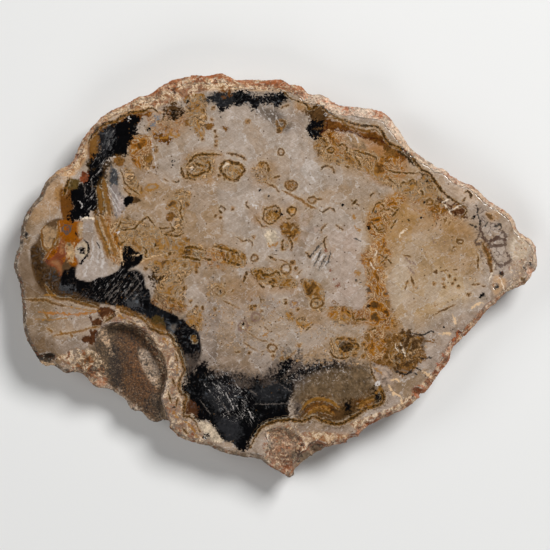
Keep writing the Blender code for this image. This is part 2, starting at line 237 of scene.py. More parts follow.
# Crisp patches of the polished face, in painting order: the colour, how softly the edge
# fades, how ragged the edge is, and the shapes
PATCHES = table("""
upper_band russet 0.8 1.2: 88,146 91,137 97,129 104,124 111,122 118,119 127,114 136,111 146,110
    152,112 150,118 143,116 138,124 120,128 107,130 101,140 100,150 96,158 92,164 89,158;
upper_ochre honey 1.5 1.6: 90,142 94,134 100,129 104,131 102,141 100,150 96,156 91,154;
fringe russet 0.8 0.8: 60,190 66,186 72,184 74,192 72,198 74,206 72,214 74,222 66,224 61,214 60,202;
left_ground chestnut 1.2 1.2: 30,250 34,244 38,246 40,258 44,264 50,270 58,272 62,280 66,286 74,290
    80,294 98,302 99,308 84,305 70,300 56,299 48,292 40,288 34,276 31,262 / 58,222 62,220 60,234
    56,242 52,240 56,232;
salmon_plate brick 0.8 0.8: 44,258 50,250 57,246 61,239 65,246 66,258 62,266 63,278 60,277 56,268
    50,266 46,263;
plate_facets plate 0.8 0.8: 50,262 58,260 62,268 61,276 57,267 / 61,241 64,246 64,254 60,252;
plate_dark flame 0.8 0.8: 46,257 55,248 58,247 57,252 49,259 / 62,258 66,256 64,262;
beige_plate tan 0.8 0.8: 42,230 47,226 56,226 57,233 53,241 49,249 44,246 43,238;
amber_fan flame 1.0 1.2: 58,222 64,220 72,221 82,221 83,230 84,238 80,242 76,247 75,254 78,264
    72,266 67,258 66,248 62,240 58,236;
fan_light gold 2.0 1.6: 78,224 83,223 83,236 79,238 / 66,244 74,246 75,258 70,262 67,254;
left_folds umber 1.0 1.2: 88,160 100,160 106,168 106,180 108,190 110,202 108,212 102,217 96,218
    92,208 95,198 92,188 88,178;
fold_lilac lilac 1.2 1.0: 108,186 116,184 122,194 126,206 120,216 112,214 110,200;
lilac_field lilac 0.8 0.6: 84,222 92,220 98,219 104,228 107,238 109,250 108,262 107,270 107,275
    100,277 92,280 84,280 78,277 76,273 77,268 80,262 87,256 89,250 88,244 84,240 82,236 83,228;
upper_pool ink 1.0 1.6: 103,128 110,124 118,121 124,118 131,116 137,116 141,118 139,124 137,131
    135,138 131,144 128,148 127,156 122,154 119,157 113,158 108,162 101,168 94,170 90,167 93,158
    99,153 101,146 100,138;
upper_grey charcoal 2.5 2.4: 101,132 108,127 113,130 111,142 107,152 102,154 100,144;
left_link umber 2.0 2.0: 100,170 108,160 118,156 120,162 112,166 106,174 104,186 100,196 98,184;
left_pool ink 1.0 1.6: 76,184 83,182 88,173 93,168 98,166 103,170 99,180 97,188 100,196 98,203
    94,209 90,214 86,218 82,216 80,221 71,221 70,213 72,205 69,199 71,190;
ghost slate 1.6 0.8: 110,168 114,167 118,172 119,178 118,183 117,186 113,184 110,188;
hot_spot brick 1.0 1.2: 80,174 84,171 87,173 87,178 83,182 80,180;
left_olive olive 0.8 0.8: 67,182 72,178 79,180 78,187 73,189 68,189;
black_band ink 0.6 0.8: 60,280 64,270 68,270 73,266 76,270 76,276 79,279 90,281 99,277 106,276
    115,272 119,269 121,262 122,250 125,245 131,246 136,251 143,253 143,259 139,264 133,268 128,270
    130,276 126,282 124,290 122,298 124,308 112,306 104,304 98,303 92,300 84,297 76,292 70,291
    62,289;
band_streaks ink 1.5 1.8: 102,284 110,276 122,272 130,270 138,270 144,276 146,286 148,292 140,300
    130,302 118,302 106,298;
band_mottle blue_black 1.0 1.4: 126,296 140,292 148,292 152,302 160,307 170,312 180,319 188,325
    198,331 201,345 199,356 196,362 192,372 187,376 183,368 179,354 175,344 168,336 160,334 152,329
    147,323 141,319 133,315 124,313 121,305;
blue_mottle slate 2.0 2.6: 127,302 134,300 142,303 141,308 134,310 128,307 / 168,326 176,324 182,330
    178,336 170,334 / 186,342 194,344 192,356 186,352;
band_end ink 1.5 2.0: 182,318 188,324 194,332 200,342 201,354 196,364 190,370 184,366 181,356
    177,346 172,338 176,328;
olive_window olive 1.2 1.2: 150,320 156,316 163,318 163,328 157,332 151,328;
band_blobs ink 0.6 1.0: 145,291 149,290 151,295 147,298 / 140,300 146,298 150,302 149,308 142,308 /
    168,316 174,314 178,318 177,323 171,322;
blue_bits slate 1.5 2.4: 50,272 54,270 57,276 54,280 50,278 / 60,286 66,285 72,289 66,292 60,291;
soft_blob umber 2.0 2.4: 148,277 153,274 157,268 160,275 168,275 163,281 166,288 158,285 152,288
    153,281;
soft_blob_brown honey 2.0 2.4: 160,292 168,288 176,290 172,298 162,298 / 166,262 176,258 184,262
    176,268;
top_band ink 0.9 1.8: 207,98 212,93 222,92 232,91 243,92 256,95 270,94 285,92 286,99 282,105 276,107
    268,104 260,104 254,110 248,104 240,106 234,104 226,108 220,112 217,105 211,103;
top_band_grey charcoal 1.5 1.5: 208,97 214,93 222,92 230,92 234,99 230,105 222,106 214,102;
top_band_rust russet 0.8 0.8: 219,90 224,88 227,91 222,93 / 229,88 232,92 230,97 227,94 / 222,97
    226,96 225,100;
geode chestnut 2.0 2.4: 166,103 174,102 181,107 183,113 177,119 168,119 164,111;
geode_dark bistre 1.2 2.6: 169,110 176,109 181,113 177,117 171,117;
top_ochre ochre 0.9 0.9: 184,98 190,94 198,93 204,95 203,99 195,98 188,101;
orange_pocket orange 0.9 0.8: 170,86 174,83 179,82 182,86 179,91 173,92 169,91;
salmon_wedge salmon 0.8 0.8: 150,94 155,89 161,85 166,84 163,88 157,92 152,96;
brown_nook chestnut 1.6 1.6: 306,108 312,106 320,103 327,110 328,120 326,128 321,136 316,138 308,130
    310,120 305,112;
black_nook ink 0.8 1.6: 306,126 312,120 321,120 322,126 314,129 306,130 / 309,131 315,129 322,131
    319,138 311,138;
dark_chip ink 0.5 0.5: 124,198 129,195.5 134,197 135,203 131,204 127,207 124.5,206;
dark_chip_tail chestnut 0.6 0.6: 134,197 141,199 138,202 133,204;
upper_right_band russet 1.6 1.4: 327,119 340,121 352,127 362,129 374,129 380,133 388,142 400,150
    408,156 402,162 392,158 384,150 374,141 366,139 355,133 345,131 334,132 330,142 322,150 316,146
    324,132;
mottle_bits russet 1.2 2.0: 132,142 140,138 146,142 148,150 142,154 136,150 / 138,158 146,154
    150,160 148,168 141,166 / 154,134 164,136 172,140 160,143;
upper_right_dark umber 1.0 1.0: 396,146 402,148 409,151 413,158 418,166 414,166 406,158 398,154;
upper_pale tan 2.0 1.8: 344,136 354,134 362,140 368,147 360,150 350,145 / 386,152 394,160 400,169
    390,167 382,158;
upper_deep honey 1.5 1.6: 386,146 396,150 394,160 388,168 384,158 / 324,146 336,148 344,152 340,156
    328,153;
corner_brown chestnut 1.0 1.0: 420,172 428,174 437,183 442,192 434,190 425,182;
tip_window liver 2.0 2.0: 448,212 452,206 461,204 468,209.5 464,215 462,219 456,218 452,215 /
    436,196 444,198 450,206 444,208 436,204;
field_brown honey 2.0 2.4: 426,206 437,205 443,207 447,210 448,216 440,216 430,212;
orange_fall_a ochre 1.8 2.6: 374,212 380,204 386,208 392,204 398,194 404,196 400,206 392,214 386,224
    382,230 384,240 380,250 376,244 372,232 368,220;
orange_fall_b honey 1.8 2.6: 376,256 382,258 384,268 378,276 374,268 / 372,286 378,284 384,294
    388,308 396,322 388,328 380,322 376,306 / 332,304 344,310 360,312 364,320 350,320 336,314 /
    372,328 384,330 380,344 370,342;
orange_fall_c cream 1.2 2.0: 374,240 378,244 376,252 380,262 376,266 370,258 372,248 / 382,272
    386,276 382,284 378,280;
low_right_brown honey 1.6 2.0: 383,340 400,331 410,334 420,336 432,341 425,344 421,348 424,357
    418,362 416,368 405,374 398,371 386,369 372,364 378,352;
clump_dark chestnut 1.5 2.4: 402,333 418,336 426,343 418,350 414,362 403,370 392,366 398,350;
mass_shadow dusk 7 3.0: 184,356 200,358 214,368 226,370 240,372 262,376 276,362 286,352 298,354
    306,362 330,359 350,360 368,366 372,374 340,382 300,388 230,392 190,386;
mass_top ink 3.0 2.4: 186,372 191,370 196,366 204,364 210,370 216,376 224,373 232,378 241,376
    252,379 262,379 270,377 277,368 283,360 291,356 296,360 292,368 286,376 300,368 314,364 330,362
    342,363 352,368 360,376 352,378 338,372 318,373 300,378 288,386 290,402 240,420 200,404 188,390;
mass_dusk dusk 3.0 2.2: 262,384 276,380 286,384 296,382 294,392 280,396 266,394 / 236,380 252,384
    246,392 234,388;
mass_core ink 1.2 1.4: 186,384 196,382 210,384 222,382 238,386 254,388 270,386 284,380 294,386
    292,396 289,408 292,416 297,422 290,421 275,422 263,427 258,434 251,441 249,449 240,450 232,442
    222,441 214,430 207,422 198,421 194,420 190,412 186,402 182,392 181,386;
mass_grey charcoal 3.0 2.0: 216,420 226,416 240,420 242,432 236,442 226,440 219,432 / 206,388
    222,384 238,392 236,408 220,412 208,402 / 256,388 280,384 290,392 276,402 258,400;
smoky_wing wing 6 2.0: 296,392 304,382 318,374 332,370 348,366 362,362 370,364 374,376 380,386
    380,398 366,408 350,418 336,422 318,416 300,418 292,410;
honey_bay chestnut 5 2.0: 300,406 312,398 326,397 342,402 356,398 370,391 380,389 386,398 380,406
    366,411 360,413 350,422 340,426 332,427 322,422 312,419 303,423 294,420;
honey_dark umber 2.0 1.6: 344,402 350,400 352,410 350,416 345,414 / 372,386 380,386 384,394 381,402
    374,400;
honey_black ink 1.2 1.2: 345,404 349,402 350,412 347,414 / 374,391 379,388 382,396 378,400;
honey_ochre russet 2.5 1.8: 304,412 312,405 324,403 332,408 334,414 326,412 316,411 / 358,402
    368,398 372,404 364,409;
mass_window dusk 3.0 1.8: 293,404 300,402 303,409 300,416 294,414;
spike_tip rind 0.8 0.5: 371,362 376,364 384,366 391,371 392,380 384,386 378,381 374,375 371,370;
bark_window liver 0.9 1.0: 185,400 188,397 193,400 197,405 198,411 196,418 193,415 190,418 186,418
    183,414 184,407;
bark rind 0.7 0.9: 98,326 106,318 116,312 120,309 123,313 133,315.5 141,318.5 146,323 150,328.5
    155,330.5 160,333.5 167,334.5 172,338.5 174,345 178,350 180,356 182,363 184,369 183,374 180,380
    179,388 181,394 185,396 186,399 184,402 184,410 183,414 186,417 190,417 194,420 197,425 200,432
    205,440 196,446 170,446 150,425 140,380 120,345 104,340;
red_window liver 0.8 0.7: 97,309 104,307 112,308 116,313 112,319 104,320 98,315;
red_bats liver 0.6 0.5: 88,316 91,315 93,320 97,317 101,320 102,323 99,326 95,328 92,326 91,321 /
    81,340 85,335.5 89,336 90,329 93,331 94,328 97,330 99,335 99,339 101,342 96,342 93,343 91,345
    88,342 84,343;
low_white cream_dull 0.8 0.9: 200,423 207,422 213,427 217,432 220,437 223,442 214,442 209,438
    203,433;
big_spot honey 1.2 0.6: 290,230,8.5,9,0;
filled_spots honey 1.0 0.8: 290.5,185.5,5,4.5,0 188.5,123,3.5,3.5,0 209,126,4,4,0 118,161,7,4.5,20
    225,128.5,2.4,2,0 155,167,4,2,0 171,217,4,5,0;
ring_a_fill chestnut 1.2 1.2: 194,162 202,161 210,162 209,169 203,171 196,172 192,168;
ring_b_fill ochre 1.2 0.8: 231,162 239,164 244,169 241,176 234,179 229,172;
ring_fills ochre 1.0 0.8: 266,214 272,209 279,210 279,216 273,222 267,220 / 287,211 289,208 293,207
    296,209 295,213 292,216 289,213;
clump_a chestnut 1.0 1.4: 182,248 190,247 198,248 204,251 203,256 196,260 186,258 181,254 / 220,247
    232,249 240,254 244,260 236,265 226,262 220,255;
clump_b honey 1.2 1.4: 250,272 260,270 272,272 281,275 290,282 300,282 296,288 284,288 272,282
    258,280 / 300,281 308,282 318,284 322,291 314,298 306,292;
clump_c umber 1.0 1.2: 338,340 345,340 352,343 357,347 352,352 344,352 338,348;
lilac_pale cream_dull 1.5 1.4: 265,233 271,230 277,234 275,242 269,246 267,240;
edge_amber honey 1.5 1.2: 104,304 112,305 122,306 134,311 146,316 154,322 164,328 168,334 160,333.5
    150,328.5 146,323 141,318.5 133,315.5 123,313 116,310;
""")

# Crisp patches of the rough crust and the sandy matrix. The dark facets on the spur are partly
# their dark flint and partly painted shade on the crust's lower edge
ROUGH_PATCHES = table("""
rim_top rim_orange 1.5 2.6: 150,97 160,85 172,79 186,75 204,74 218,73 222,77 236,80 256,82 276,81
    284,82 284,86 262,86 240,84 222,82 204,79 188,80 174,84 164,90 156,98;
rim_top_amber crust_cream 1.5 2.0: 166,84 178,79 190,79 186,85 178,90 168,92 / 206,77 214,78 210,82
    204,82;
rim_right salmon 1.2 2.0: 330,99 342,101 352,108 348,113 338,107 330,103 / 372,110 384,114 380,118
    372,114 / 300,88 308,92 306,97 298,92;
rim_low rim_orange 1.5 2.6: 427,372 436,366 446,366 444,374 434,382 428,384 / 449,330 460,326
    470,328 466,336 456,342 450,340 / 362,420 372,417 380,420 374,428 364,430 / 303,434 316,431
    330,433 344,434 350,440 344,446 326,448 312,446 / 418,386 424,386 422,394 416,396 / 478,300
    486,298 484,306 478,308 / 520,276 528,274 526,284 518,286;
knot rust 1.0 1.6: 75,153 80,150 85,153 85,160 80,165 76,162;
white_chip ivory 0.8 0.8: 68,170 75,165 84,165 83,172 76,176 69,176 / 65,178 69,176 71,182 69,190
    65,189;
dark_notch umber 1.0 1.0: 35,351 44,350 54,354 52,361 42,362 36,358;
notch_lip cream 0.8 0.8: 39,361 47,363 55,362 54,367 45,368 39,366;
shell_bit chalk 1.0 1.2: 99,331 104,329 108,334 109,342 113,355 110,354 105,344 99,340;
spur_white ivory 1.2 1.2: 252,434 262,430 268,434 267,446 258,452 252,446;
spur_facets liver 0.8 1.2: 309,441 320,440 327,446 320,451 310,450 / 296,450 306,447 312,452 306,462
    297,465 / 307,449 322,448 326,456 318,462 309,460 / 281,461 291,462 290,471 283,470 / 330,442
    340,440 346,446 336,449;
""")

# Washes over the rough stone of the crust and the sandy matrix. Among them, the pale pink wash on
# the right crust is partly painted light, the darkest washes in the hollow, down its left slope and
# along its right cliff, are painted shade, and the dark wash on the lower-left rim is partly
# painted shade where the rim turns from the light
ROUGH_WASHES = table("""
crust_left sand_grey 6 0.8: 5,200 40,160 60,170 44,215 34,260 40,300 60,340 60,372 20,370;
crust_top_left crust_cream 5 1.0: 40,170 90,110 150,75 210,60 205,90 150,100 100,130 80,160 62,180;
crust_top crust_tan 4 1.0: 150,60 310,60 310,92 296,96 230,96 150,112;
crust_shade rind_warm 4 0.9: 296,94 316,92 340,104 366,112 384,124 372,128 340,122 306,106;
crust_top_rust rim_orange 3 0.4: 160,70 200,70 236,74 262,78 262,84 200,82 164,92;
crust_right blush 4 0.9: 318,84 420,120 480,190 540,230 550,280 520,300 500,250 440,190 380,140
    320,112;
crust_low_right salmon 5 0.6: 520,290 540,270 500,330 440,410 380,430 360,436 350,420 420,380
    470,310;
hollow chalk_deep 3 1.0: 60,352 96,333 116,322 142,328 157,347 167,372 162,399 170,424 172,446
    140,440 100,420 76,392;
hollow_centre sand_brown 5 1.0: 118,332 140,332 152,346 162,372 160,400 166,420 150,432 130,420
    114,400 112,370;
hollow_orange sand_orange 5 0.7: 128,344 140,346 152,362 158,380 152,396 138,396 128,376;
hollow_pale chalk 2 0.75: 138,350 146,350 155,362 161,376 160,388 152,384 144,372 139,360;
hollow_crumbs chalk 2 0.6: 60,352 76,352 90,366 108,384 130,402 150,418 168,424 172,440 150,438
    128,422 104,402 80,380;
hollow_slits sand_dark 1.5 0.7: 146,338 152,336 160,350 168,368 168,386 164,384 162,366 154,350;
hollow_shadow sand_dark 3 0.7: 110,346 116,346 120,360 122,374 118,388 112,384 109,366;
hollow_grey chalk_deep 3 0.9: 82,343 104,345 106,372 92,380 78,366;
hollow_far sand_grey 5 0.7: 150,395 166,400 172,430 156,428;
spur rind_deep 4 1.0: 240,424 300,424 300,480 250,480;
spur_rust brick 3 0.8: 300,430 352,430 356,440 330,452 300,452;
spur_sand rind_deep 4 0.8: 266,428 292,426 300,450 290,466 270,458;
spur_grey sand_grey 4 0.6: 290,458 306,456 306,478 288,478 / 306,436 330,436 328,452 308,452;
low_rim salmon 4 0.4: 330,424 352,418 380,420 370,440 340,445;
low_left_rim rind_deep 4 0.8: 160,410 186,418 200,434 240,444 256,462 200,462 160,446;
""")

# Lines on the face: the colour, the half width, how strongly it covers, and the shapes
LINES = table("""
rim_line bistre 0.8 0.9: 88,145 91,137 97,129 104,124 110,122 115,121 122,116 131,112 143,111
    152,108 158,113 / 285,92 290,98 300,102 306,104 310,109 320,104.5 325,109 334,116 343,120
    354,124 366,126 375,126 382,131 388,142 400,148 411,155 421,169 430,174 443,192 455,201
    467,209.5 462,217 / 250,448 256,436 263,427 275,422 290,420 303,421 313,417 326,422 340,424
    356,416 366,409 380,404 384,398 379,386 372,373 371,363 / 70,178 67,183 65,190 64,195;
rim_inner chestnut 0.6 0.7: 329,117 336,118.5 341,120 345,124 352,127 360,129.5 367,131 372,129.5
    376,130 380,134;
red_edge wine 0.7 0.8: 327,127 335,129 345,131 355,133 362,137 370,138 378,139 386,144 391,149 /
    327,119 326.5,125 326,130 320,134;
bark_edge bistre 0.8 0.8: 120,308.5 123,313 133,315.5 141,318.5 146,323 150,328.5 155,330.5
    160,333.5 167,334.5 172,338.5 174,345 178,350 180,356 182,363 184,369 183,374 180,380 179,388
    181,394 185,396 186,399 184,402 184,410 183,414 186,417 190,417 194,420 197,425 200,432;
bark_slits umber 0.6 0.85: 150,337 156,345 / 160,351 164,360 / 166,370 167,380 / 168,392 171,402 /
    175,353 178,361 / 172,378 175,386 / 178,398 176,406 / 128,321 136,325 / 182,428 188,434 /
    104,322 112,317;
bark_ochre ochre 0.8 0.8: 162,337 169,345 / 177,364 177,374 / 172,410 178,418 / 116,314 126,319 /
    184,421 192,428 197,438;
left_crack chestnut 0.7 0.8: 22,299 30,300 45,300 52,303 60,305 66,306 / 45,285 55,298 70,300 82,304
    98,308;
left_orange ochre 0.6 0.8: 66,306 70,307 80,309 95,311 100,311 / 44,295 56,295.5 / 35,319 50,320
    60,319 68,318;
left_orange_thick amber 0.9 0.8: 38,312 48,313 60,313.5 72,314.5 80,314 96,312;
left_fan honey 0.6 0.8: 43,310 48,318 / 54,336 62,334 70,333 80,331 90,328 100,327 / 60,331 62,335 /
    70,333 72,337 / 47,328 52,332;
plate_edges russet 0.5 0.8: 58,226 57,235 54,242 49,250 44,247 42,238 42,230 46,226 / 44,260 50,250
    57,245 57,238 / 58,222 59,232 56,240;
eye_halo cream_dull 1.1 0.7: 82,250,5,6,0;
splash ivory 0.8 0.9: 82,218.5 88,217.5 95,219;
eye_arc ink 0.8 1.0: 83,240 87,243 88.5,250 86,256 83,260 80,264;
slits ink 0.8 0.9: 75.5,232 78,237 / 96,241 100,248 / 171,409 175,407 / 172,399 176,397 / 154,247
    156,243;
nodule_ring slate 1.0 0.8: 66.5,229,4,4,0;
grey_streaks slate 0.6 0.7: 106,150 108,140 112,132 / 110,150 113,142 116,136 / 104,146 106,136
    109,131;
white_hairs milk 0.4 0.75: 104,186 110,194 116,203 120,210 / 107,184 114,193 120,204 / 106,192
    112,201 117,211 / 82,218 80,217 / 78,201 82,204 81,208;
fold_ochre honey 1.0 0.8: 103,178 106,192 108,204 110,216 / 98,186 100,198 101,212 / 95,217 98,230
    104,244 108,258 / 101,216 106,230 112,244 116,256;
fold_dark bistre 0.7 0.85: 105,180 108,194 111,206 113,216 / 97,217 100,230 106,243 110,256 /
    100,188 103,200 105,212;
field_folds milk 0.7 0.6: 92,236 93,250 90,266 / 98,246 98,260 95,272 / 102,250 103,262 100,272 /
    88,262 86,270 84,277;
band_hairs smoke 0.4 0.8: 104,300 110,291 118,284 / 108,301 114,293 121,287 / 133,271 138,279
    142,287 141,290 / 124,296 131,286 138,278 / 128,298 136,288 141,282 / 132,300 140,293 / 112,303
    118,296;
mass_flecks milk 0.3 0.62: 218,386 224,396 / 224,390 232,404 / 229,398 235,412 / 243,404 250,414 /
    247,408 253,419 / 214,384 220,392 / 291,379 297,381 / 337,369 345,372 / 204,384 210,392 /
    236,384 242,392;
mass_thin smoke 0.4 0.8: 84,186 86,196 / 91,180 93,190 / 255,404 272,404 290,403 / 200,400 210,414 /
    222,402 230,416 / 258,396 250,390 / 280,384 292,392;
honey_bands umber 0.7 0.7: 300,412 308,402 320,399 332,402 338,409 / 304,418 314,411 324,411 332,415
    / 356,408 364,401 374,396;
honey_lights ochre 1.0 0.65: 302,410 310,401 321,398 332,402 340,408 / 308,415 314,409 322,407
    329,410 334,414 / 375,394 379,390 383,388 / 358,409 366,403 374,399;
spike_stripe ochre 0.8 0.8: 374,367 378,371 383,375;
vein_orange ochre 0.7 0.9: 197,120 199,128 202,138 / 155,137 165,138 170,133 174,137 181,134 /
    145,189 149,185 155,184 158,187 153,190 147,190 145,189;
vein_pair umber 0.5 0.85: 120,169 123,176 124,182 127,185 131,189 136,192 140,195 / 123,187 127,192
    131,195 / 158,150 156,153 / 164,179 168,181 / 173,181 177,182 179,180;
lace_dark umber 0.6 0.85: 182,205 180,212 183,220 / 170,223 172,228 174,230 165,234 170,235 178,236
    184,233 / 158,228 169,228 / 118,227 124,230 130,229 135,228 140,222 147,217 150,220 155,226 /
    121,220 120,224 118,228 / 142,247 146,250 145,256 149,258 / 117,248 125,241;
lace_cream cream 0.5 0.7: 120,245 121,255 123,265 / 140,262 152,257 164,254 / 130,256 142,254;
ring_a umber 0.8 0.9: 186,166 190,161 194,157 197,155.5 201,154 208,154.5 213,154.5 221,155 /
    181,167 182,172 184,177 187,178.5 / 188,178 195,179 / 188,170 187,175 189,174 194,176 199,175
    203,172 208,171.5 210,166 209,162 / 195,163 203,166;
ring_b umber 0.8 0.9: 221,166 224,162 229,160.5 233,163 238,163.5 242,166 244.5,169 243,173 240,176
    237,180 232,180 228,178 224,175 221,172 220,169 221,166 / 227,153 233,154 240,156 246,160;
ring_b_light ivory 0.7 0.7: 223,168 226,164 230,163 / 190,168 193,167;
ring_c chestnut 0.6 0.85: 257,165 260,162.5 264,162 267,164 268.5,168 268,172 / 273,178 280,176 /
    265,182 270,185 275,187 279,192;
ring_small chestnut 0.6 0.85: 281,152,3,3,0 281,124,4.5,3.5,20 286,269,5,5,0 254.5,258,3.5,3,0
    312,200,4,3,0 272,348,4,4,0 317,303,6,5,0 429.5,202,3,3,0 460,241.5,3,2.2,0 233,256,6,5,20
    291,185.5,5.5,5,0 155,149,2.2,2.2,0;
ring_dashes chestnut 0.6 0.85: 281,108 285,106 289,105 / 286,219 291,218 / 281,242 284,240 / 288,238
    291,241 / 281,250 286,249.5 / 279,260 287,262 / 214,217 217,215 / 316,199 322,199 / 345,165.5
    349,167.5 / 231,292 234,290;
brown_curve honey 0.7 0.85: 282,190 288,193 295,197 302,200 306,204 311,207 316,208;
loops umber 0.55 0.85: 247,201 246,205 249,208 / 218.5,208 220,206 223,207 225,210 / 219,210 222,213
    / 264,212 266,209 271,207 275,206 279,208 280,212 280,216 277,219 274,222 270,224 266,222
    263,219 263.5,215 264,212 / 287,211 289,208 293,207 296,209 295,213 292,216 289,213 287,211;
pill umber 0.7 0.9: 283,240 282,246 283,250 / 291,240 292,246 291,250;
crescent ochre 1.0 0.85: 268,243 270,246 274,246 278,242 / 353,214 355,219 / 354,226 360,231;
specks_row umber 0.5 0.85: 236,237 240,239 242,241 245,241 249,240 252,242 252,247 / 256,217 258,221
    261,223 262,227 266,226 268,227;
clump_lines umber 0.7 0.9: 184,248 190,247 197,248 203,250 / 181,257 190,258 200,260 / 203,258
    211,260 / 214,246 222,248 230,250 238,253 / 227,260 233,263 240,265 / 268,256 276,260 / 305,252
    308,254 310,258;
lace_row umber 0.8 0.9: 254,272 260,271 264,275 270,275 277,272 280,276 / 243,282 245,277 247,272 /
    268,281 274,284 / 272,285 274,287 / 259,283 264,288;
white_streaks milk 0.6 0.6: 292,165 296,178 / 310,172 315,182 / 305,187 309,193 / 347,133 352,142 /
    354,134 359,143 / 245,135 245,145 / 151,138 153,150 156,168 / 257,109 265,120 / 262,107 272,124
    / 270,109 279,122;
arcs_right umber 0.6 0.85: 321,170 323,167 328,166 332,168 335,173 / 320,210 322,212 325,211
    328,208.5 333,209 335,212 / 327,224 323,227 321,232 / 336,225 343,230 / 327,236 324,240 325,246
    326,249 / 370,198 371,195 374,193 / 381,223 383,225 / 351,200 355,203 359,205 / 352,205 357,200;
dendrite charcoal 0.6 0.85: 309,258 314,252 319,246 323,243 / 314,266 318,258 321,250 / 319,270
    322,262 326,256 / 326,266 329,258 331,250 / 354,238 361,241 / 316,260 324,262 330,262;
dendrite_light milk 0.5 0.8: 311,262 316,256 321,248 / 317,267 320,260 324,254 / 323,268 327,261;
low_marks umber 0.5 0.7: 259,295 261,299 264,300 / 261,299 261,303 / 252,322 255,319 / 264,326
    268,331 / 271,339 274,341 / 261,352 264,351 / 235,352 240,352 / 305,363 307,361 / 305,332
    314,323 / 297,275 302,270 / 289,264 291,271;
low_arc chestnut 0.45 0.6: 246,331 252,335 258,339 268,342 / 243,342 250,347 257,351 / 284,360
    290,356 296,351 / 222,300 230,304 240,309 / 212,290 218,286 225,292 220,296 212,290;
spot_rings mauve 0.7 0.8: 256,317,4.5,4,0 243,326,5,5,0 294,304,3.5,3,0;
cluster_lines umber 0.6 0.9: 335,340 338,338.5 342,339 / 352,343 357,344 358,348 354,351 / 329,348
    331,353 335,357 340,358 346,358 349,356 / 352,313 354,320 / 356,320 366,319 / 371,330 375,328;
ochre_loops ochre 0.7 0.85: 331,311 335,311 337,314 336,317 333,318 / 341,315 345,312 349,314
    350,318 346,320 342,319 341,315 / 286,313 290,318 293,319 / 296,320 303,327 312,322;
grey_lines slate 0.4 0.7: 333,322 338,322 / 339,325 345,326;
brown_rays umber 0.55 0.85: 331,150,3.5,2.5,0 / 335,143 338,146 341,144 345,145 347,149 344,151 /
    345,153 352,155 / 353,150 358,151 363,153 370,155 376,158 376,162 / 354,156 358,161 361,167 /
    384,167 388,170 395,172 405,173 418,173 / 384,176.5 388,178 392,181 395,184 / 401,188 401,184
    403.5,182 406,184 / 408,184 410,181 413,180 415,183 / 420,190 423,193 422,196;
clump_rays umber 0.5 0.6: 396,341 392,350 390,358 / 411,342 407,352 405,361 / 386,344 381,352;
orange_lines umber 0.5 0.85: 399,208 393,216 / 397,219 391,228 / 372,214 377,203 383,205 385,210
    390,209 / 371,222 378,230 384,228 / 378,254 386,258 392,264 / 380,264 388,256;
white_rays ivory 0.5 0.7: 400,238 401,233 407,229 / 377,250 375,256 / 370,262 374,268 378,270 /
    449,211 461,205 / 441,203 449,199 / 444,204 449,210 451,215 / 500,277 505,292 / 489,282 493,270
    496,260 / 400,342 403,350 406,357 / 395,344 398,352;
tip_black ink 0.6 0.9: 476,205 478,209 477,213 479,217 480,222 480,225 482,227 / 482,226 485,226
    488,222 / 493,226.5 497,226 500,224 501,228 498,230 / 469,224 477,227;
boomerang bistre 0.7 0.9: 464,193 468,191 471,195 471,198 / 466,197 463,201;
net mauve_dark 1.1 0.85: 480,226 483,237 486,240 490,241 499,236 / 476,243 479,235 482,232 484,243
    476,243 / 490,242 498,238 505,240 505,244 496,246 488,246 490,242 / 505,246 506,251 508,256
    511,260 508,262 504,265 500,266.5 497,264 494,260 492,255 491,251 / 500,229 505,234 505,240;
net_red chestnut 1.2 0.8: 483,243 485,250 488,257 490,263 492,272 / 487,246 489,254 491,262 /
    486,214 490,216 493,219 / 521,278 527,282;
field_marks chestnut 0.55 0.85: 403,255 411,257 / 452,248 457,246 / 405,290 406,285 408,281 /
    472,285 480,284 / 482,286 485,286 / 440,272 447,270 / 453,269.5 457,269.5 / 478,255 478,268 /
    436,314 441,311 446,309 450,307 455,305 / 411,276 414,286;
field_mauve mauve 0.6 0.7: 405,257 409,261 411,263 / 411,261 416,265 / 407,266 411,270 415,275 /
    432,237 434,243 / 443,244 448,241;
lens cream 0.8 0.8: 471,309 476,305 483,302 / 422,371 427,374 432,378 / 453,314 456,324 / 439,334
    451,334 / 390,381 396,379 399,382 / 388,385 394,393 393,396 / 394,393 401,397 402,402 405,408;
jagged ink 0.7 0.9: 410,333 417,334 423,335 427,333 432,331 434,333 / 419,357 423,359 428,358
    432,357.5 / 412,366 416,368 421,371 / 394,371 402,373 406,375 411,371 413,368 / 413,372 417,375;
rind_rust rust 0.8 0.7: 436,363 440,366 / 442,353 444,357 / 413,390 418,386 424,388 423,394 417,396
    413,392;
""")

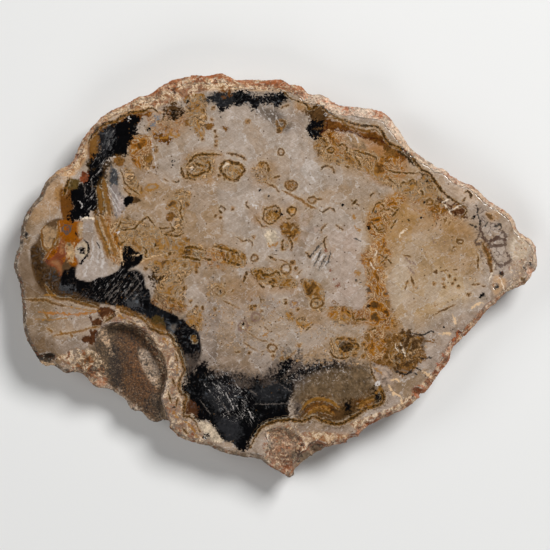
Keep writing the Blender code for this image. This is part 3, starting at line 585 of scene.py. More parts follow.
# Round dots on the face: the colour, how strongly it covers, and x, y and radius of each
DOTS = table("""
black ink 1.0: 374,212,1.3 368,228,1.6 481.5,295.5,1.6 484.6,294,1.2 452,329.5,1.3 444,328,0.9
    187.5,102,1.5 148,128.5,1.4 82,250,2.4 78,248.5,1 173,161,1.5 172.5,165,1 153,308,2
    243,324.5,1.2 277,211,1.2 280.5,215,1.1 343,205,1 356,281.5,1 360,282,0.9 364,318.5,1.2
    368.5,307,1.4 193,326,1.2 250,108,1 253,111,0.8 221,111,1 221,117,1 213,278,1.2 221,292,1.2
    276,251,0.9 26,235,1.4 297,409,1.2 269,196,0.7 260,191,0.8 304.5,194,0.7 409,221,0.8 421,217,0.8
    423.5,203,1 427,182,1.3 206,436,2.2 501,273,1.6 496,287,1.5 302,445,1.2 531,264,1.3 526,268,1.3
    474,217,1.2 26,237,1;
chestnut chestnut 0.9: 203,110,1.3 213,107,1.2 206,119,1.1 211,119.5,1.1 280,131,1.8 247,122,1.5
    215,131,1 215.5,136,1 215.5,141,1 216,146,1 193,338,1.2 195,341,1 190,301,1.1 145,268,1.2
    184,288,1.4 196,272,1.1 196,307,1.2 203,308,1 215,310,1 199,320,1.1 166,256,1.1 170,254,1
    174,261,1.1 184,266,1 219,175,1 225,179,1.1 262,165.5,1.5 221,217,1.1 232,209,1.1 254,237,1
    250,353.5,1 274,356.5,1.1 282,358,1 285,300,1 286,303,1 298,310,1.1 299,346,1.2 252,308,1.6
    255,306.5,1 261,311,1 296,268,1.2 385,277,1 436,272,1.1 449,276,1 443,279,1 434,284,1.1
    444,283.5,1 445,287,1 456,280,1 452,284,1 458,287,1 469,294,1.1 364,344,1.4 367,348,1.2
    363,355.5,1.3 355,354,1.6 169,299,1.3 174,301,1.2 202,139,1 293,263,1.6 243,257,1.6;
rust brick 0.8: 325.5,251,1.2 338,285,2 330,270,1.2 333,279,1.2 192,434,1.6 249,457,1.8
    489.5,262,1.6 66.5,229,1.6 487,251,1.2 492,270,1.2;
wine wine 0.9: 171,83,1 168,88,1 172,90,0.9 175,92,0.9;
milk milk 0.9: 129,118.5,1.5 119,233,1 377.5,383,2.2 243,327,1.1 326,115,1.5 192,169,1.2 254,205,1.1
    257,207,1.1 297,277,1;
blue blue_grey 0.8: 157,117,2.2 153,125,2.2;
pink rose 0.8: 303,223,2 314,213,1.8 306,216,1.6 303,238,1.8 317,229,2 418,178,1.6;
ochre ochre 0.8: 162,246,2.2 266,335,1.8 294,304,1.6 358,273.5,2.6 413,187,2.6 190,322,2.6;
""")

# Places where the stone has a grain of its own: which, how softly it fades, how strong, and
# the shapes
HABITS = table("""
lace_left lace 4 0.85: 112,222 128,217 150,224 176,234 190,238 186,250 160,257 126,262 112,244 /
    172,192 188,191 186,212 182,236 172,236 174,214;
lace_ring_a lace 3 0.75: 184,158 198,152 214,154 213,176 188,179;
lace_ring_b lace 3 0.75: 222,162 236,160 246,170 236,181 222,176;
lace_ring_c lace 4 0.6: 252,164 268,162 274,176 266,186 252,178;
lace_clumps lace 3 1.4: 177,247 200,245 205,256 196,262 181,261 / 215,244 238,250 246,258 243,267
    227,265 215,257 / 252,269 276,269 290,276 298,283 294,288 276,286 260,281 / 302,279 318,283
    324,292 324,300 314,302 306,297 / 332,338 354,338 360,350 344,358 332,351 / 296,320 303,318
    310,325 302,330;
lace_clumps_pale lace 3 0.9: 328,306 352,308 350,322 332,322 / 284,310 292,312 296,320 288,322 /
    310,300 322,298 324,310 312,311 / 178,194 190,192 188,208 170,212 166,204;
lace_rings_low lace 3 0.6: 262,208 282,206 282,222 266,226 / 284,222 300,222 300,240 284,252 280,244
    / 240,318 250,318 250,332 240,332 / 206,282 226,284 226,298 208,298;
lace_upper_left lace 4 0.8: 128,136 150,136 152,166 134,168 / 184,97 206,97 205,136 196,136 186,116
    / 124,166 134,172 144,192 136,196 126,184 / 148,262 196,256 200,268 186,280 186,304 168,312
    152,300 156,280 / 186,312 202,308 202,330 190,330;
lace_upper_right lace 4 0.8: 316,136 350,146 384,156 402,180 430,176 446,206 424,206 396,192 360,172
    318,158;
lace_field lace 5 0.32: 372,200 440,196 478,222 478,290 430,310 410,300 402,250 372,240;
lace_brown lace 3 0.45: 372,322 424,334 420,366 386,368 364,350;
lace_low lace 6 0.38: 190,300 260,290 330,320 376,320 366,366 300,366 240,356 196,330;
moss_left moss 3 0.8: 130,138 150,137 152,160 140,168 132,160 / 94,208 108,212 120,240 126,262
    112,262 98,232 / 152,298 184,302 184,312 156,310;
moss_right moss 4 0.8: 374,206 398,192 406,200 390,222 386,240 392,256 384,270 390,300 392,328
    372,326 352,318 330,318 330,306 356,310 366,296 364,270 360,256 372,244 366,224;
moss_low moss 3 0.7: 366,330 384,330 386,356 370,362 362,346;
moss_upper moss 3 0.6: 322,130 342,134 350,150 330,156 / 376,160 402,156 408,176 384,180;
fall_mass fall 5 0.75: 206,374 240,376 254,404 256,424 240,420 216,404;
fall_band fall 3 0.45: 300,366 372,366 372,402 300,394;
fall_top fall 4 0.5: 255,104 280,104 290,150 262,150 / 290,130 320,130 320,190 288,190 / 340,120
    362,124 364,146 340,146;
rise_low rise 6 0.3: 196,300 240,286 330,296 372,326 340,352 296,350 250,350 206,340;
rise_band rise 3 0.7: 96,276 126,268 146,272 150,292 120,304 98,302;
rise_folds rise 3 0.8: 88,160 118,164 118,214 88,214 / 99,130 114,126 112,154 99,156;
rise_field rise 6 0.35: 384,230 430,220 470,240 470,290 400,310;
frost_geode frost 2 0.8: 165,112 181,111 181,121 167,121;
frost_mass frost 3 0.9: 286,364 346,362 346,380 290,384 / 216,386 238,386 246,418 224,418;
frost_low frost 4 0.6: 226,332 234,332 234,344 226,344 / 310,338 322,338 322,352 310,352 / 309,243
    331,243 331,271 309,271;
cloud_black cloud 3 0.5: 98,128 112,122 112,150 96,166 / 118,172 118,210 104,210 106,172 / 124,286
    150,288 180,304 202,340 196,372 184,372 172,336 124,312 / 206,92 286,92 284,106 208,106;
cloud_mass cloud 4 0.45: 184,374 300,374 300,400 260,420 200,420;
shell_side shell 3 0.6: 60,352 88,348 104,360 106,386 84,382 62,366;
shell_bark shell 3 0.6: 104,318 120,308 134,314 150,328 172,336 184,366 182,390 186,404 186,418
    198,424 206,440 196,446 172,446 164,420 160,380 150,350 134,330 112,326;
shell_crust shell 2 0.8: 66,176 78,140 96,118 150,80 200,66 300,70 316,90 300,98 285,91 250,90
    205,91 160,107 131,111 104,121 90,140 84,160;
shell_right shell 3 0.45: 318,84 420,120 480,190 540,230 550,280 520,300 506,270 516,230 460,190
    390,120 330,100;
shell_low_right shell 3 0.9: 520,280 530,290 500,320 440,400 380,430 350,424 400,402 436,368
    470,322;
shell_low shell 2 0.7: 300,434 316,431 345,434 354,440 340,452 300,452;
moss_top moss 4 0.5: 150,110 184,112 186,124 176,138 150,136 148,120 / 204,246 226,252 226,272
    206,268 / 410,196 446,206 466,222 440,226 416,214;
shell_top_left shell 4 0.55: 146,98 166,90 200,88 200,96 180,102 164,104 160,112 150,110;
shell_spur shell 3 0.5: 264,430 280,424 300,424 300,450 290,476 270,470 262,452;
sand_hollow sand 2 1.0: 96,340 116,321 143,325 161,345 172,372 167,399 171,424 160,428 134,402
    110,382 92,364;
sand_edge sand 3 0.4: 60,352 92,344 110,380 134,400 164,424 172,446 140,440 100,420 76,392;
sand_spur sand 3 0.6: 266,430 296,428 300,450 290,468 272,460;
net_tip net 3 0.5: 474,206 500,220 506,260 490,280 476,250;
cloud_dendrite cloud 2 0.35: 312,250 324,246 328,258 322,268 314,264;
cloud_left cloud 3 0.55: 30,246 44,250 58,272 100,298 96,304 50,296 34,276;
""")

SHEET_COUNT = 8
LINE_SET_COUNT = 4
HABIT_SETS = (("lace", "moss", "cloud"), ("fall", "rise", "frost"), ("shell", "net", "sand"))
STAINING = ("bistre", "umber", "chestnut", "russet", "honey")

# Distances in layout units: how far each stored depth or gap reaches, how far face patches run
# past the polish, how near two patches may come on one sheet, and how a line's end fades
PATCH_REACH = 8.0
LINE_REACH = 4.5
POLISH_REACH = 10.0
PATCH_OVERRUN = 1.6
SHEET_NEAR = 3.0
SHEET_GAP = 2.5
LINE_END = 1.5
PATH_STEP = 1.2
# Width of a line at its ends, and the share of its length over which it thickens
THIN_END = 0.45
TAPER_SHARE = 0.2
OVAL_POINTS = 24
STRAIGHT_POINTS = 9
WEIGHT_STEPS = 32
# How many distances are worked out at once, at most
BLOCK = 4_000_000

# Heights on the slab, in metres: vertices this near count as one, the strips over the back and
# under the face, and where the crust gives way to the bark wall
MERGE_DISTANCE = 0.00002
BACK_STRIP = 0.0004
BACK_DEPTH = 0.0005
WALL_START = 0.0020
FACE_STRIP = 0.0012
CRUST_DEPTH = 0.0060
CRUST_FOOT = 0.0045
CRUST_FADE = 0.0030
# From the polish's edge, in layout units: where the face is level and where the crust is full.
# The bark's fibres are this many times as long as they are wide
LEVEL_INSET = 0.5
CRUST_RUN = 1.5
FIBRE_STRETCH = 7.0

# Heights between which one finish fades into another
TOP_FADE = (FACE - 0.0007, FACE - 0.0003)
RIM_FADE = (FACE - 0.0035, FACE - 0.0010)
WALL_FADE = (FACE - 0.0075, FACE - 0.0035)
BACK_FADE = (CAD_LOW.z + 0.0002, CAD_LOW.z + 0.0006)
# Cells a layout unit, for the crazed heartwood, the netting and the crumbs
CRAZING = 0.042
NETTING = 0.11
CRUMBS = 0.26
RELIEF = 0.0008
QUARTZ_IOR = 1.54

# The studio: the view's middle in layout units both ways, the camera's sensor in millimetres,
# how far off the lamps stand, and the light and the colours round the slice
VIEW_MIDDLE = 275
SENSOR = 36
LAMP_DISTANCE = 2.4
WORLD_LIGHT = 0.02
FLOOR_DARK = (0.74, 0.74, 0.73, 1)
FLOOR_PALE = (0.80, 0.80, 0.79, 1)

# How many properties a settings group has before its own
BUILT_IN = 2


def linear(rgb):
    """Colour for the shaders, worked out from red, green and blue out of 255."""
    shares = [v / 255 for v in rgb]
    return tuple(s / 12.92 if s <= 0.04045 else ((s + 0.055) / 1.055) ** 2.4 for s in shares)


def metres(name, words, size):
    """A length that a user may change."""
    return bpy.props.FloatProperty(name=name, description=words, default=size, unit="LENGTH",
                                   precision=5)


class SliceShape(bpy.types.PropertyGroup):
    """Sizes of the slab's fine relief."""

    cell: metres("Mesh cell", "Spacing of the slab's mesh", 0.00086)
    lump_size: metres("Lump size", "Width of the crust's lumps", 0.0030)
    lump_height: metres("Lump height", "Height of the crust's lumps", 0.0011)
    grain_size: metres("Grain size", "Width of the crust's and the sand's grains", 0.0011)
    grain_height: metres("Grain height", "Height of the crust's and the sand's grains", 0.0006)
    fibre_size: metres("Fibre size", "Width of the fibres down the bark wall", 0.0016)
    fibre_height: metres("Fibre height", "Height of the fibres down the bark wall", 0.0006)
    back_share: bpy.props.FloatProperty(name="Back detail", default=0.10, subtype="FACTOR",
                                        description="Share of the back's faces that is kept")
    wall_share: bpy.props.FloatProperty(name="Wall detail", default=0.60, subtype="FACTOR",
                                        description="Share of the wall's faces that is kept")


class StageSetup(bpy.types.PropertyGroup):
    """Sizes and strengths of the floor, the lights and the camera."""

    floor_width: metres("Floor width", "Width of the floor", 6.0)
    view_height: metres("Camera height", "Height of the camera above the floor", 2.0)
    view_width: metres("View width", "Width of the view at the polished face", 0.31444)
    key_power: bpy.props.FloatProperty(name="Key power", default=60, unit="POWER",
                                       description="Power of the main soft light")
    fill_power: bpy.props.FloatProperty(name="Fill power", default=16, unit="POWER",
                                        description="Power of each fill light")


SliceColours = type("SliceColours", (bpy.types.PropertyGroup,), {
    "__doc__": "Colours of the stone.",
    "__annotations__": {
        name: bpy.props.FloatVectorProperty(
            name=name.replace("_", " ").capitalize(), subtype="COLOR", size=3, min=0, max=1,
            description="Colour of the stone where it is " + name.replace("_", " "),
            default=linear(rgb))
        for name, rgb in PALETTE.items()
    },
})


def colour(name):
    """One of the stone's colours, as the user set it."""
    return np.array(getattr(bpy.context.scene.slice_colours, name))


def deselect():
    """Leaves nothing selected."""
    if bpy.context.object and bpy.context.object.mode != "OBJECT":
        bpy.ops.object.mode_set(mode="OBJECT")
    bpy.ops.object.select_all(action="DESELECT")


def activate(item):
    """Selects one object alone and makes it active."""
    deselect()
    item.select_set(True)
    bpy.context.view_layer.objects.active = item


def places(mesh):
    """The mesh's vertices as an array."""
    flat = np.empty(len(mesh.vertices) * 3, np.float32)
    mesh.vertices.foreach_get("co", flat)
    return flat.reshape(-1, 3).astype(float)


def move_to(mesh, spots):
    """Puts the mesh's vertices in new places."""
    mesh.vertices.foreach_set("co", spots.astype(np.float32).ravel())
    mesh.update()


def layout(spots):
    """Places in metres as layout units."""
    return np.stack([LAYOUT_LEFT + (spots[:, 0] - CAD_LOW.x) / UNIT,
                     LAYOUT_TOP + (CAD_HIGH.y - spots[:, 1]) / UNIT], axis=1)


def parse(text):
    """A path's points from its words."""
    return np.array([[float(v) for v in pair.split(",")] for pair in text.split()])


def flow(points, closed):
    """Smooth curve through a path's points, as a dense row of places."""
    count = len(points)
    if count < 3:
        share = np.linspace(0, 1, STRAIGHT_POINTS)[:, None]
        return points[0] * (1 - share) + points[-1] * share
    row = []
    for i in range(count if closed else count - 1):
        if closed:
            a, b, c, d = (points[(i + k) % count] for k in (-1, 0, 1, 2))
        else:
            a, b, c, d = (points[min(max(i + k, 0), count - 1)] for k in (-1, 0, 1, 2))
        parts = max(2, int(np.hypot(*(c - b)) / PATH_STEP))
        t = (np.arange(parts) / parts)[:, None]
        row.append(0.5 * (2 * b + (c - a) * t + (2 * a - 5 * b + 4 * c - d) * t ** 2
                          + (3 * b - a - 3 * c + d) * t ** 3))
    if not closed:
        row.append(points[-1:])
    return np.concatenate(row)


def oval(x, y, wide, high, turn):
    """Path round an oval, a little uneven."""
    angle = np.arange(OVAL_POINTS) * math.tau / OVAL_POINTS
    size = 1 + 0.07 * np.sin(2 * angle + x) + 0.05 * np.sin(3 * angle + y)
    across = wide * size * np.cos(angle)
    down = high * size * np.sin(angle)
    c = math.cos(math.radians(turn))
    s = math.sin(math.radians(turn))
    return np.stack([x + across * c - down * s, y + across * s + down * c], axis=1)


def shapes(text, filled=True):
    """Dense paths of a text of shapes, each with whether it is closed."""
    for part in text.split("/"):
        rows = parse(part)
        if rows.shape[1] == 5:
            for row in rows:
                yield oval(*row), True
        elif filled:
            yield flow(rows, True), True
        else:
            closed = len(rows) > 3 and (rows[0] == rows[-1]).all()
            yield flow(rows[:-1] if closed else rows, closed), closed


def near(spots, path, reach):
    """Indices of the spots inside a path's box, grown by the reach."""
    low = path.min(0) - reach
    high = path.max(0) + reach
    return np.nonzero(((spots > low) & (spots < high)).all(1))[0]


def to_path(spots, starts, ends):
    """For each spot: its distance to the nearest piece of a path, and that piece."""
    along = ends - starts
    lengths = np.maximum((along ** 2).sum(1), 1e-9)
    best = np.full(len(spots), np.inf)
    piece = np.zeros(len(spots), int)
    block = max(1, BLOCK // max(1, len(spots)))
    for first in range(0, len(starts), block):
        a = starts[first:first + block]
        ab = along[first:first + block]
        rel = spots[:, None] - a[None]
        share = np.clip((rel * ab[None]).sum(2) / lengths[first:first + block], 0, 1)
        gap = ((rel - share[:, :, None] * ab[None]) ** 2).sum(2)
        nearest = gap.argmin(1)
        value = gap[np.arange(len(spots)), nearest]
        closer = value < best
        best[closer] = value[closer]
        piece[closer] = nearest[closer] + first
    return np.sqrt(best), piece


def inside(spots, starts, ends):
    """Which spots lie inside the closed edges, by counting crossings to the right."""
    odd = np.zeros(len(spots), bool)
    for (ax, ay), (bx, by) in zip(starts, ends):
        if ay != by:
            crossing = (ay > spots[:, 1]) != (by > spots[:, 1])
            at = ax + (bx - ax) * (spots[:, 1] - ay) / (by - ay)
            odd ^= crossing & (spots[:, 0] < at)
    return odd


def depth_in(spots, starts, ends):
    """Signed distance to closed edges: positive inside, negative outside."""
    gap, _ = to_path(spots, starts, ends)
    return np.where(inside(spots, starts, ends), gap, -gap)


def smooth(low, high, value):
    """Smooth step from 0 at low to 1 at high."""
    t = np.clip((value - low) / (high - low), 0, 1)
    return t * t * (3 - 2 * t)


def polished_edges():
    """Edges round the flat polished face of the CAD slab, in layout units."""
    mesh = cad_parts[SLAB].data
    spots = places(mesh)
    corners = np.empty(len(mesh.loops), int)
    mesh.loops.foreach_get("vertex_index", corners)
    _, first, same = np.unique(np.round(spots, 6), axis=0, return_index=True,
                               return_inverse=True)
    triangles = same.ravel()[corners.reshape(-1, 3)]
    flat = (spots[first][triangles][:, :, 2] > FACE - 1e-5).all(1)
    edges = np.sort(triangles[flat][:, [0, 1, 1, 2, 2, 0]].reshape(-1, 2), axis=1)
    edges, times = np.unique(edges, axis=0, return_counts=True)
    ends = layout(spots[first])[edges[times == 1]]
    return ends[:, 0], ends[:, 1]


def polish_depth(spots):
    """How far inside the polished face each vertex lies, in layout units, by its x and y."""
    starts, ends = polished_edges()
    return np.clip(depth_in(layout(spots), starts, ends), -POLISH_REACH, POLISH_REACH)


def new_slab():
    """The slab's mesh as one even skin."""
    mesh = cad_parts[SLAB].data.copy()
    mesh.name = PIECE
    mesh.materials.clear()
    piece = bpy.data.objects.new(PIECE, mesh)
    bpy.context.collection.objects.link(piece)
    activate(piece)
    bpy.ops.object.mode_set(mode="EDIT")
    bpy.ops.mesh.select_all(action="SELECT")
    bpy.ops.mesh.remove_doubles(threshold=MERGE_DISTANCE)
    bpy.ops.object.mode_set(mode="OBJECT")
    skin = piece.modifiers.new("Even skin", "REMESH")
    skin.mode = "VOXEL"
    skin.voxel_size = bpy.context.scene.slice_shape.cell
    bpy.ops.object.modifier_apply(modifier=skin.name)
    return piece


def thin(piece, picked, share):
    """Keeps only a share of the faces whose vertices are all picked."""
    activate(piece)
    mesh = piece.data
    corners = np.empty(len(mesh.loops), int)
    mesh.loops.foreach_get("vertex_index", corners)
    starts = np.empty(len(mesh.polygons), int)
    mesh.polygons.foreach_get("loop_start", starts)
    chosen = np.minimum.reduceat(picked[corners].astype(int), starts)
    mesh.vertices.foreach_set("select", np.zeros(len(mesh.vertices), bool))
    mesh.edges.foreach_set("select", np.zeros(len(mesh.edges), bool))
    mesh.polygons.foreach_set("select", chosen.astype(bool))
    bpy.ops.object.mode_set(mode="EDIT")
    bpy.ops.mesh.select_mode(type="FACE")
    bpy.ops.mesh.decimate(ratio=share)
    bpy.ops.object.mode_set(mode="OBJECT")


def weigh(piece, name, weights):
    """Vertex group with a weight for every vertex, in a few dozen steps."""
    group = piece.vertex_groups.new(name=name)
    steps = np.round(np.clip(weights, 0, 1) * WEIGHT_STEPS).astype(int)
    for step in range(1, WEIGHT_STEPS + 1):
        members = np.nonzero(steps == step)[0]
        if len(members):
            group.add(members.tolist(), step / WEIGHT_STEPS, "REPLACE")
    return group.name


def carve(piece, name, size, height, group, stretch=1.0):
    """Raises and sinks the surface by a cloudy pattern, where the group says."""
    texture = bpy.data.textures.new(name, "CLOUDS")
    texture.noise_scale = 1.0
    texture.noise_depth = 2
    guide = bpy.data.objects.new(name + "_guide", None)
    bpy.context.collection.objects.link(guide)
    guide.scale = (size, size, size * stretch)
    bpy.context.view_layer.update()
    step = piece.modifiers.new(name, "DISPLACE")
    step.texture = texture
    step.texture_coords = "OBJECT"
    step.texture_coords_object = guide
    step.strength = height
    step.mid_level = 0.5
    step.vertex_group = group
    activate(piece)
    bpy.ops.object.modifier_apply(modifier=step.name)
    bpy.data.objects.remove(guide)


class SLICE_OT_slab(bpy.types.Operator):
    """Model the slab: an even skin over the solid, flat polish, rough crust and bark wall"""

    bl_idname = "slice.slab"
    bl_label = "Slab"

    def execute(self, context):
        sizes = context.scene.slice_shape
        piece = new_slab()
        spots = places(piece.data)
        thin(piece, spots[:, 2] < CAD_LOW.z + BACK_STRIP, sizes.back_share)
        spots = places(piece.data)
        wall = (spots[:, 2] > CAD_LOW.z + BACK_STRIP) & (spots[:, 2] < FACE - CRUST_DEPTH)
        thin(piece, wall, sizes.wall_share)

        spots = places(piece.data)
        depth = polish_depth(spots)
        up = spots[:, 2] > FACE - FACE_STRIP
        spots[up & (depth > LEVEL_INSET), 2] = FACE
        move_to(piece.data, spots)
        above_back = smooth(BACK_STRIP, WALL_START, spots[:, 2] - CAD_LOW.z)
        rough = smooth(0.0, CRUST_RUN, -depth) * above_back
        rough[~up & (depth > 0)] = 1
        rough *= above_back
        low = smooth(0.0, CRUST_FADE, FACE - CRUST_FOOT - spots[:, 2])
        crust = weigh(piece, "crust", rough * (1 - low))
        wall = weigh(piece, "wall", rough * low)
        all_rough = weigh(piece, "rough", rough)
        carve(piece, "lumps", sizes.lump_size, sizes.lump_height, crust)
        carve(piece, "fibres", sizes.fibre_size, sizes.fibre_height, wall, FIBRE_STRETCH)
        carve(piece, "grains", sizes.grain_size, sizes.grain_height, all_rough)
        spots = places(piece.data)
        spots = np.minimum(np.maximum(spots, CAD_LOW), CAD_HIGH)
        move_to(piece.data, spots)
        piece.vertex_groups.clear()
        bpy.ops.object.shade_smooth()
        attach(piece, "root")
        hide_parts(SLAB)
        return {"FINISHED"}


def store(mesh, name, kind, values):
    """Writes one value a vertex as an attribute of the mesh."""
    attribute = mesh.attributes.new(name, kind, "POINT")
    field = {"FLOAT": "value", "FLOAT_VECTOR": "vector", "FLOAT_COLOR": "color"}[kind]
    attribute.data.foreach_set(field, np.ascontiguousarray(values, np.float32).ravel())


def store_colour(mesh, name, values, alpha=1.0):
    """Writes one colour a vertex as an attribute of the mesh."""
    alpha = np.broadcast_to(np.asarray(alpha, float), len(values))[:, None]
    store(mesh, name, "FLOAT_COLOR", np.concatenate([values, alpha], 1))


def wash(base, spots, washes, where):
    """Lays soft washes of colour over the base."""
    for tint, softness, strength, text in washes.values():
        for path, _ in shapes(text):
            found = near(spots, path, softness)
            found = found[where[found]]
            depth = depth_in(spots[found], path, np.roll(path, -1, 0))
            cover = (smooth(-softness, softness, depth) * strength)[:, None]
            base[found] += (colour(tint) - base[found]) * cover


def touching(path, other):
    """Whether one closed path overlaps another, and whether it comes near without that."""
    if not near(other, path, SHEET_NEAR).size:
        return False, False
    next_path = np.roll(path, -1, 0)
    overlap = (inside(path, other, np.roll(other, -1, 0)).any()
               or inside(other, path, next_path).any())
    return overlap, not overlap and to_path(other, path, next_path)[0].min() < SHEET_GAP


def sheet_numbers(paths):
    """Sheet of each patch, counted from the top: free of near ones and under later ones."""
    numbers = []
    for i in reversed(range(len(paths))):
        number = 0
        taken = set()
        for later, its_number in zip(range(len(paths) - 1, i, -1), numbers):
            overlap, beside = touching(paths[i], paths[later])
            if overlap:
                number = max(number, its_number + 1)
            elif beside:
                taken.add(its_number)
        while number in taken:
            number += 1
        numbers.append(number)
    return numbers[::-1]


def lay_patches(mesh, spots, ground, depth_of_polish, polished):
    """Stores crisp patches as sheets of signed distance, edge and colour. The lowest ones, where
    patches lie many deep, are painted straight on the ground."""
    count = len(spots)
    depth = np.full((SHEET_COUNT, count), -PATCH_REACH)
    edge = np.tile(np.array([1.0, 0.0]), (SHEET_COUNT, count, 1))
    tint = np.zeros((SHEET_COUNT, count, 3))
    patches = []
    for group, allowed in ((PATCHES, polished | (depth_of_polish > -PATCH_OVERRUN)),
                           (ROUGH_PATCHES, ~polished)):
        for shade, softness, ragged, text in group.values():
            patches += [(path, shade, softness, ragged, allowed) for path, _ in shapes(text)]
    numbers = sheet_numbers([patch[0] for patch in patches])
    for number, (path, shade, softness, ragged, allowed) in zip(numbers, patches):
        found = near(spots, path, PATCH_REACH)
        found = found[allowed[found]]
        value = depth_in(spots[found], path, np.roll(path, -1, 0))
        if number >= SHEET_COUNT:
            cover = smooth(-softness, softness, value)[:, None]
            ground[found] += (colour(shade) - ground[found]) * cover
            continue
        better = value > depth[number, found]
        found = found[better]
        depth[number, found] = np.minimum(value[better], PATCH_REACH)
        edge[number, found] = softness, ragged
        tint[number, found] = colour(shade)
    for number in range(SHEET_COUNT):
        store(mesh, "sheet_%d" % number, "FLOAT_VECTOR",
              np.concatenate([depth[number][:, None], edge[number]], 1))
        store_colour(mesh, "sheet_tint_%d" % number, tint[number])


def line_marks(spots):
    """Every line and dot: its colour, strength, dense path and half width."""
    for shade, width, strength, text in LINES.values():
        for path, closed in shapes(text, False):
            if closed:
                path = np.concatenate([path, path[:1]])
            yield shade, width, strength, path, closed
    for shade, strength, text in DOTS.values():
        for x, y, radius in parse(text):
            nearest = ((spots - (x, y)) ** 2).sum(1).argmin()
            yield shade, radius, strength, spots[nearest][None], False


def lay_lines(mesh, spots):
    """Stores lines and dots in sets, so that near neighbours never share one set."""
    count = len(spots)
    value = np.tile(np.array([LINE_REACH, 0.0, 0.0]), (LINE_SET_COUNT, count, 1))
    gap = np.full((LINE_SET_COUNT, count), np.inf)
    tint = np.zeros((LINE_SET_COUNT, count, 3))
    stain = np.zeros((LINE_SET_COUNT, count))
    for shade, width, strength, path, closed in line_marks(spots):
        found = near(spots, path, LINE_REACH)
        end = np.zeros(len(found))
        taper = np.ones(len(found))
        if len(path) == 1:
            away = np.hypot(*(spots[found] - path[0]).T)
            side = away
        else:
            away, piece = to_path(spots[found], path[:-1], path[1:])
            a = path[:-1][piece]
            b = path[1:][piece]
            way = (b - a) / np.maximum(np.hypot(*(b - a).T), 1e-6)[:, None]
            rel = spots[found] - a
            side = way[:, 0] * rel[:, 1] - way[:, 1] * rel[:, 0]
            if not closed:
                ahead = (rel * way).sum(1) - np.hypot(*(b - a).T)
                before = -(rel * way).sum(1)
                end = np.where(piece == len(path) - 2, np.maximum(ahead, 0), 0)
                end = np.where(piece == 0, np.maximum(before, end), end)
                share = piece / (len(path) - 1)
                thick = smooth(0, TAPER_SHARE, np.minimum(share, 1 - share))
                taper = THIN_END + (1 - THIN_END) * thick
            side = np.where(end > 0, side, np.sign(side + 1e-9) * away)
        close = away < LINE_REACH
        found, away, side, end, taper = (v[close] for v in (found, away, side, end, taper))
        clash = [np.count_nonzero(np.isfinite(gap[k, found])) for k in range(LINE_SET_COUNT)]
        number = int(np.argmin(clash))
        closer = away < gap[number, found]
        found = found[closer]
        gap[number, found] = away[closer]
        value[number, found, 0] = side[closer]
        value[number, found, 1] = strength * np.clip(1 - end[closer] / LINE_END, 0, 1)
        value[number, found, 2] = width * taper[closer]
        tint[number, found] = colour(shade)
        stain[number, found] = shade in STAINING
    for number in range(LINE_SET_COUNT):
        store(mesh, "line_%d" % number, "FLOAT_VECTOR", value[number])
        store_colour(mesh, "line_tint_%d" % number, tint[number], stain[number])


def lay_habits(mesh, spots):
    """Stores how strongly each kind of grain shows, three kinds to an attribute."""
    weights = {kind: np.zeros(len(spots)) for kinds in HABIT_SETS for kind in kinds}
    for kind, softness, strength, text in HABITS.values():
        for path, _ in shapes(text):
            found = near(spots, path, softness)
            depth = depth_in(spots[found], path, np.roll(path, -1, 0))
            cover = smooth(-softness, softness, depth) * strength
            weights[kind][found] = np.maximum(weights[kind][found], cover)
    for number, kinds in enumerate(HABIT_SETS):
        store(mesh, "habits_%d" % number, "FLOAT_VECTOR",
              np.stack([weights[kind] for kind in kinds], axis=1))


class SLICE_OT_markings(bpy.types.Operator):
    """Lay the agate, rings, veins and washes of colour over the slab"""

    bl_idname = "slice.markings"
    bl_label = "Markings"

    def execute(self, context):
        mesh = bpy.data.objects[PIECE].data
        metre_spots = places(mesh)
        spots = layout(metre_spots)
        depth = polish_depth(metre_spots)
        store(mesh, "polish", "FLOAT", depth)
        polished = (depth > 0) | (metre_spots[:, 2] < CAD_LOW.z + BACK_DEPTH)
        ground = np.where(polished[:, None], colour("rind"), colour("chalk"))
        wash(ground, spots, FACE_WASHES, polished)
        wash(ground, spots, ROUGH_WASHES, ~polished)
        lay_patches(mesh, spots, ground, depth, polished)
        store_colour(mesh, "ground", ground)
        lay_lines(mesh, spots)
        lay_habits(mesh, spots)
        return {"FINISHED"}


class Wire:
    """One output of a node, so that shader maths reads as an expression."""

    def __init__(self, board, socket):
        self.board = board
        self.socket = socket

    def maths(self, operation, *others):
        """One maths node on this value and the others."""
        inputs = {0: self}
        inputs.update({i + 1: other for i, other in enumerate(others)})
        return self.board.add("ShaderNodeMath", {"operation": operation}, inputs)

    def __add__(self, other):
        return self.maths("ADD", other)

    __radd__ = __add__

    def __mul__(self, other):
        return self.maths("MULTIPLY", other)

    def __sub__(self, other):
        return self.maths("SUBTRACT", other)

    def __rsub__(self, other):
        return self.board.add("ShaderNodeMath", {"operation": "SUBTRACT"}, {0: other, 1: self})

    def __truediv__(self, other):
        return self.maths("DIVIDE", other)

    def __abs__(self):
        return self.maths("ABSOLUTE")

    def other(self, name):
        """Another output of the same node."""
        return Wire(self.board, self.socket.node.outputs[name])

    def most(self, other):
        return self.maths("MAXIMUM", other)

    def ramp(self, low, high, start=0.0, stop=1.0):
        """Smooth step of this value: start at low and stop at high."""
        inputs = {0: self, 1: low, 2: high, 3: start, 4: stop}
        return self.board.add("ShaderNodeMapRange", {"interpolation_type": "SMOOTHSTEP"}, inputs)

    def fade(self, low, high):
        """Smooth step down of this value: 1 at low and 0 at high."""
        return self.ramp(low, high, 1.0, 0.0)


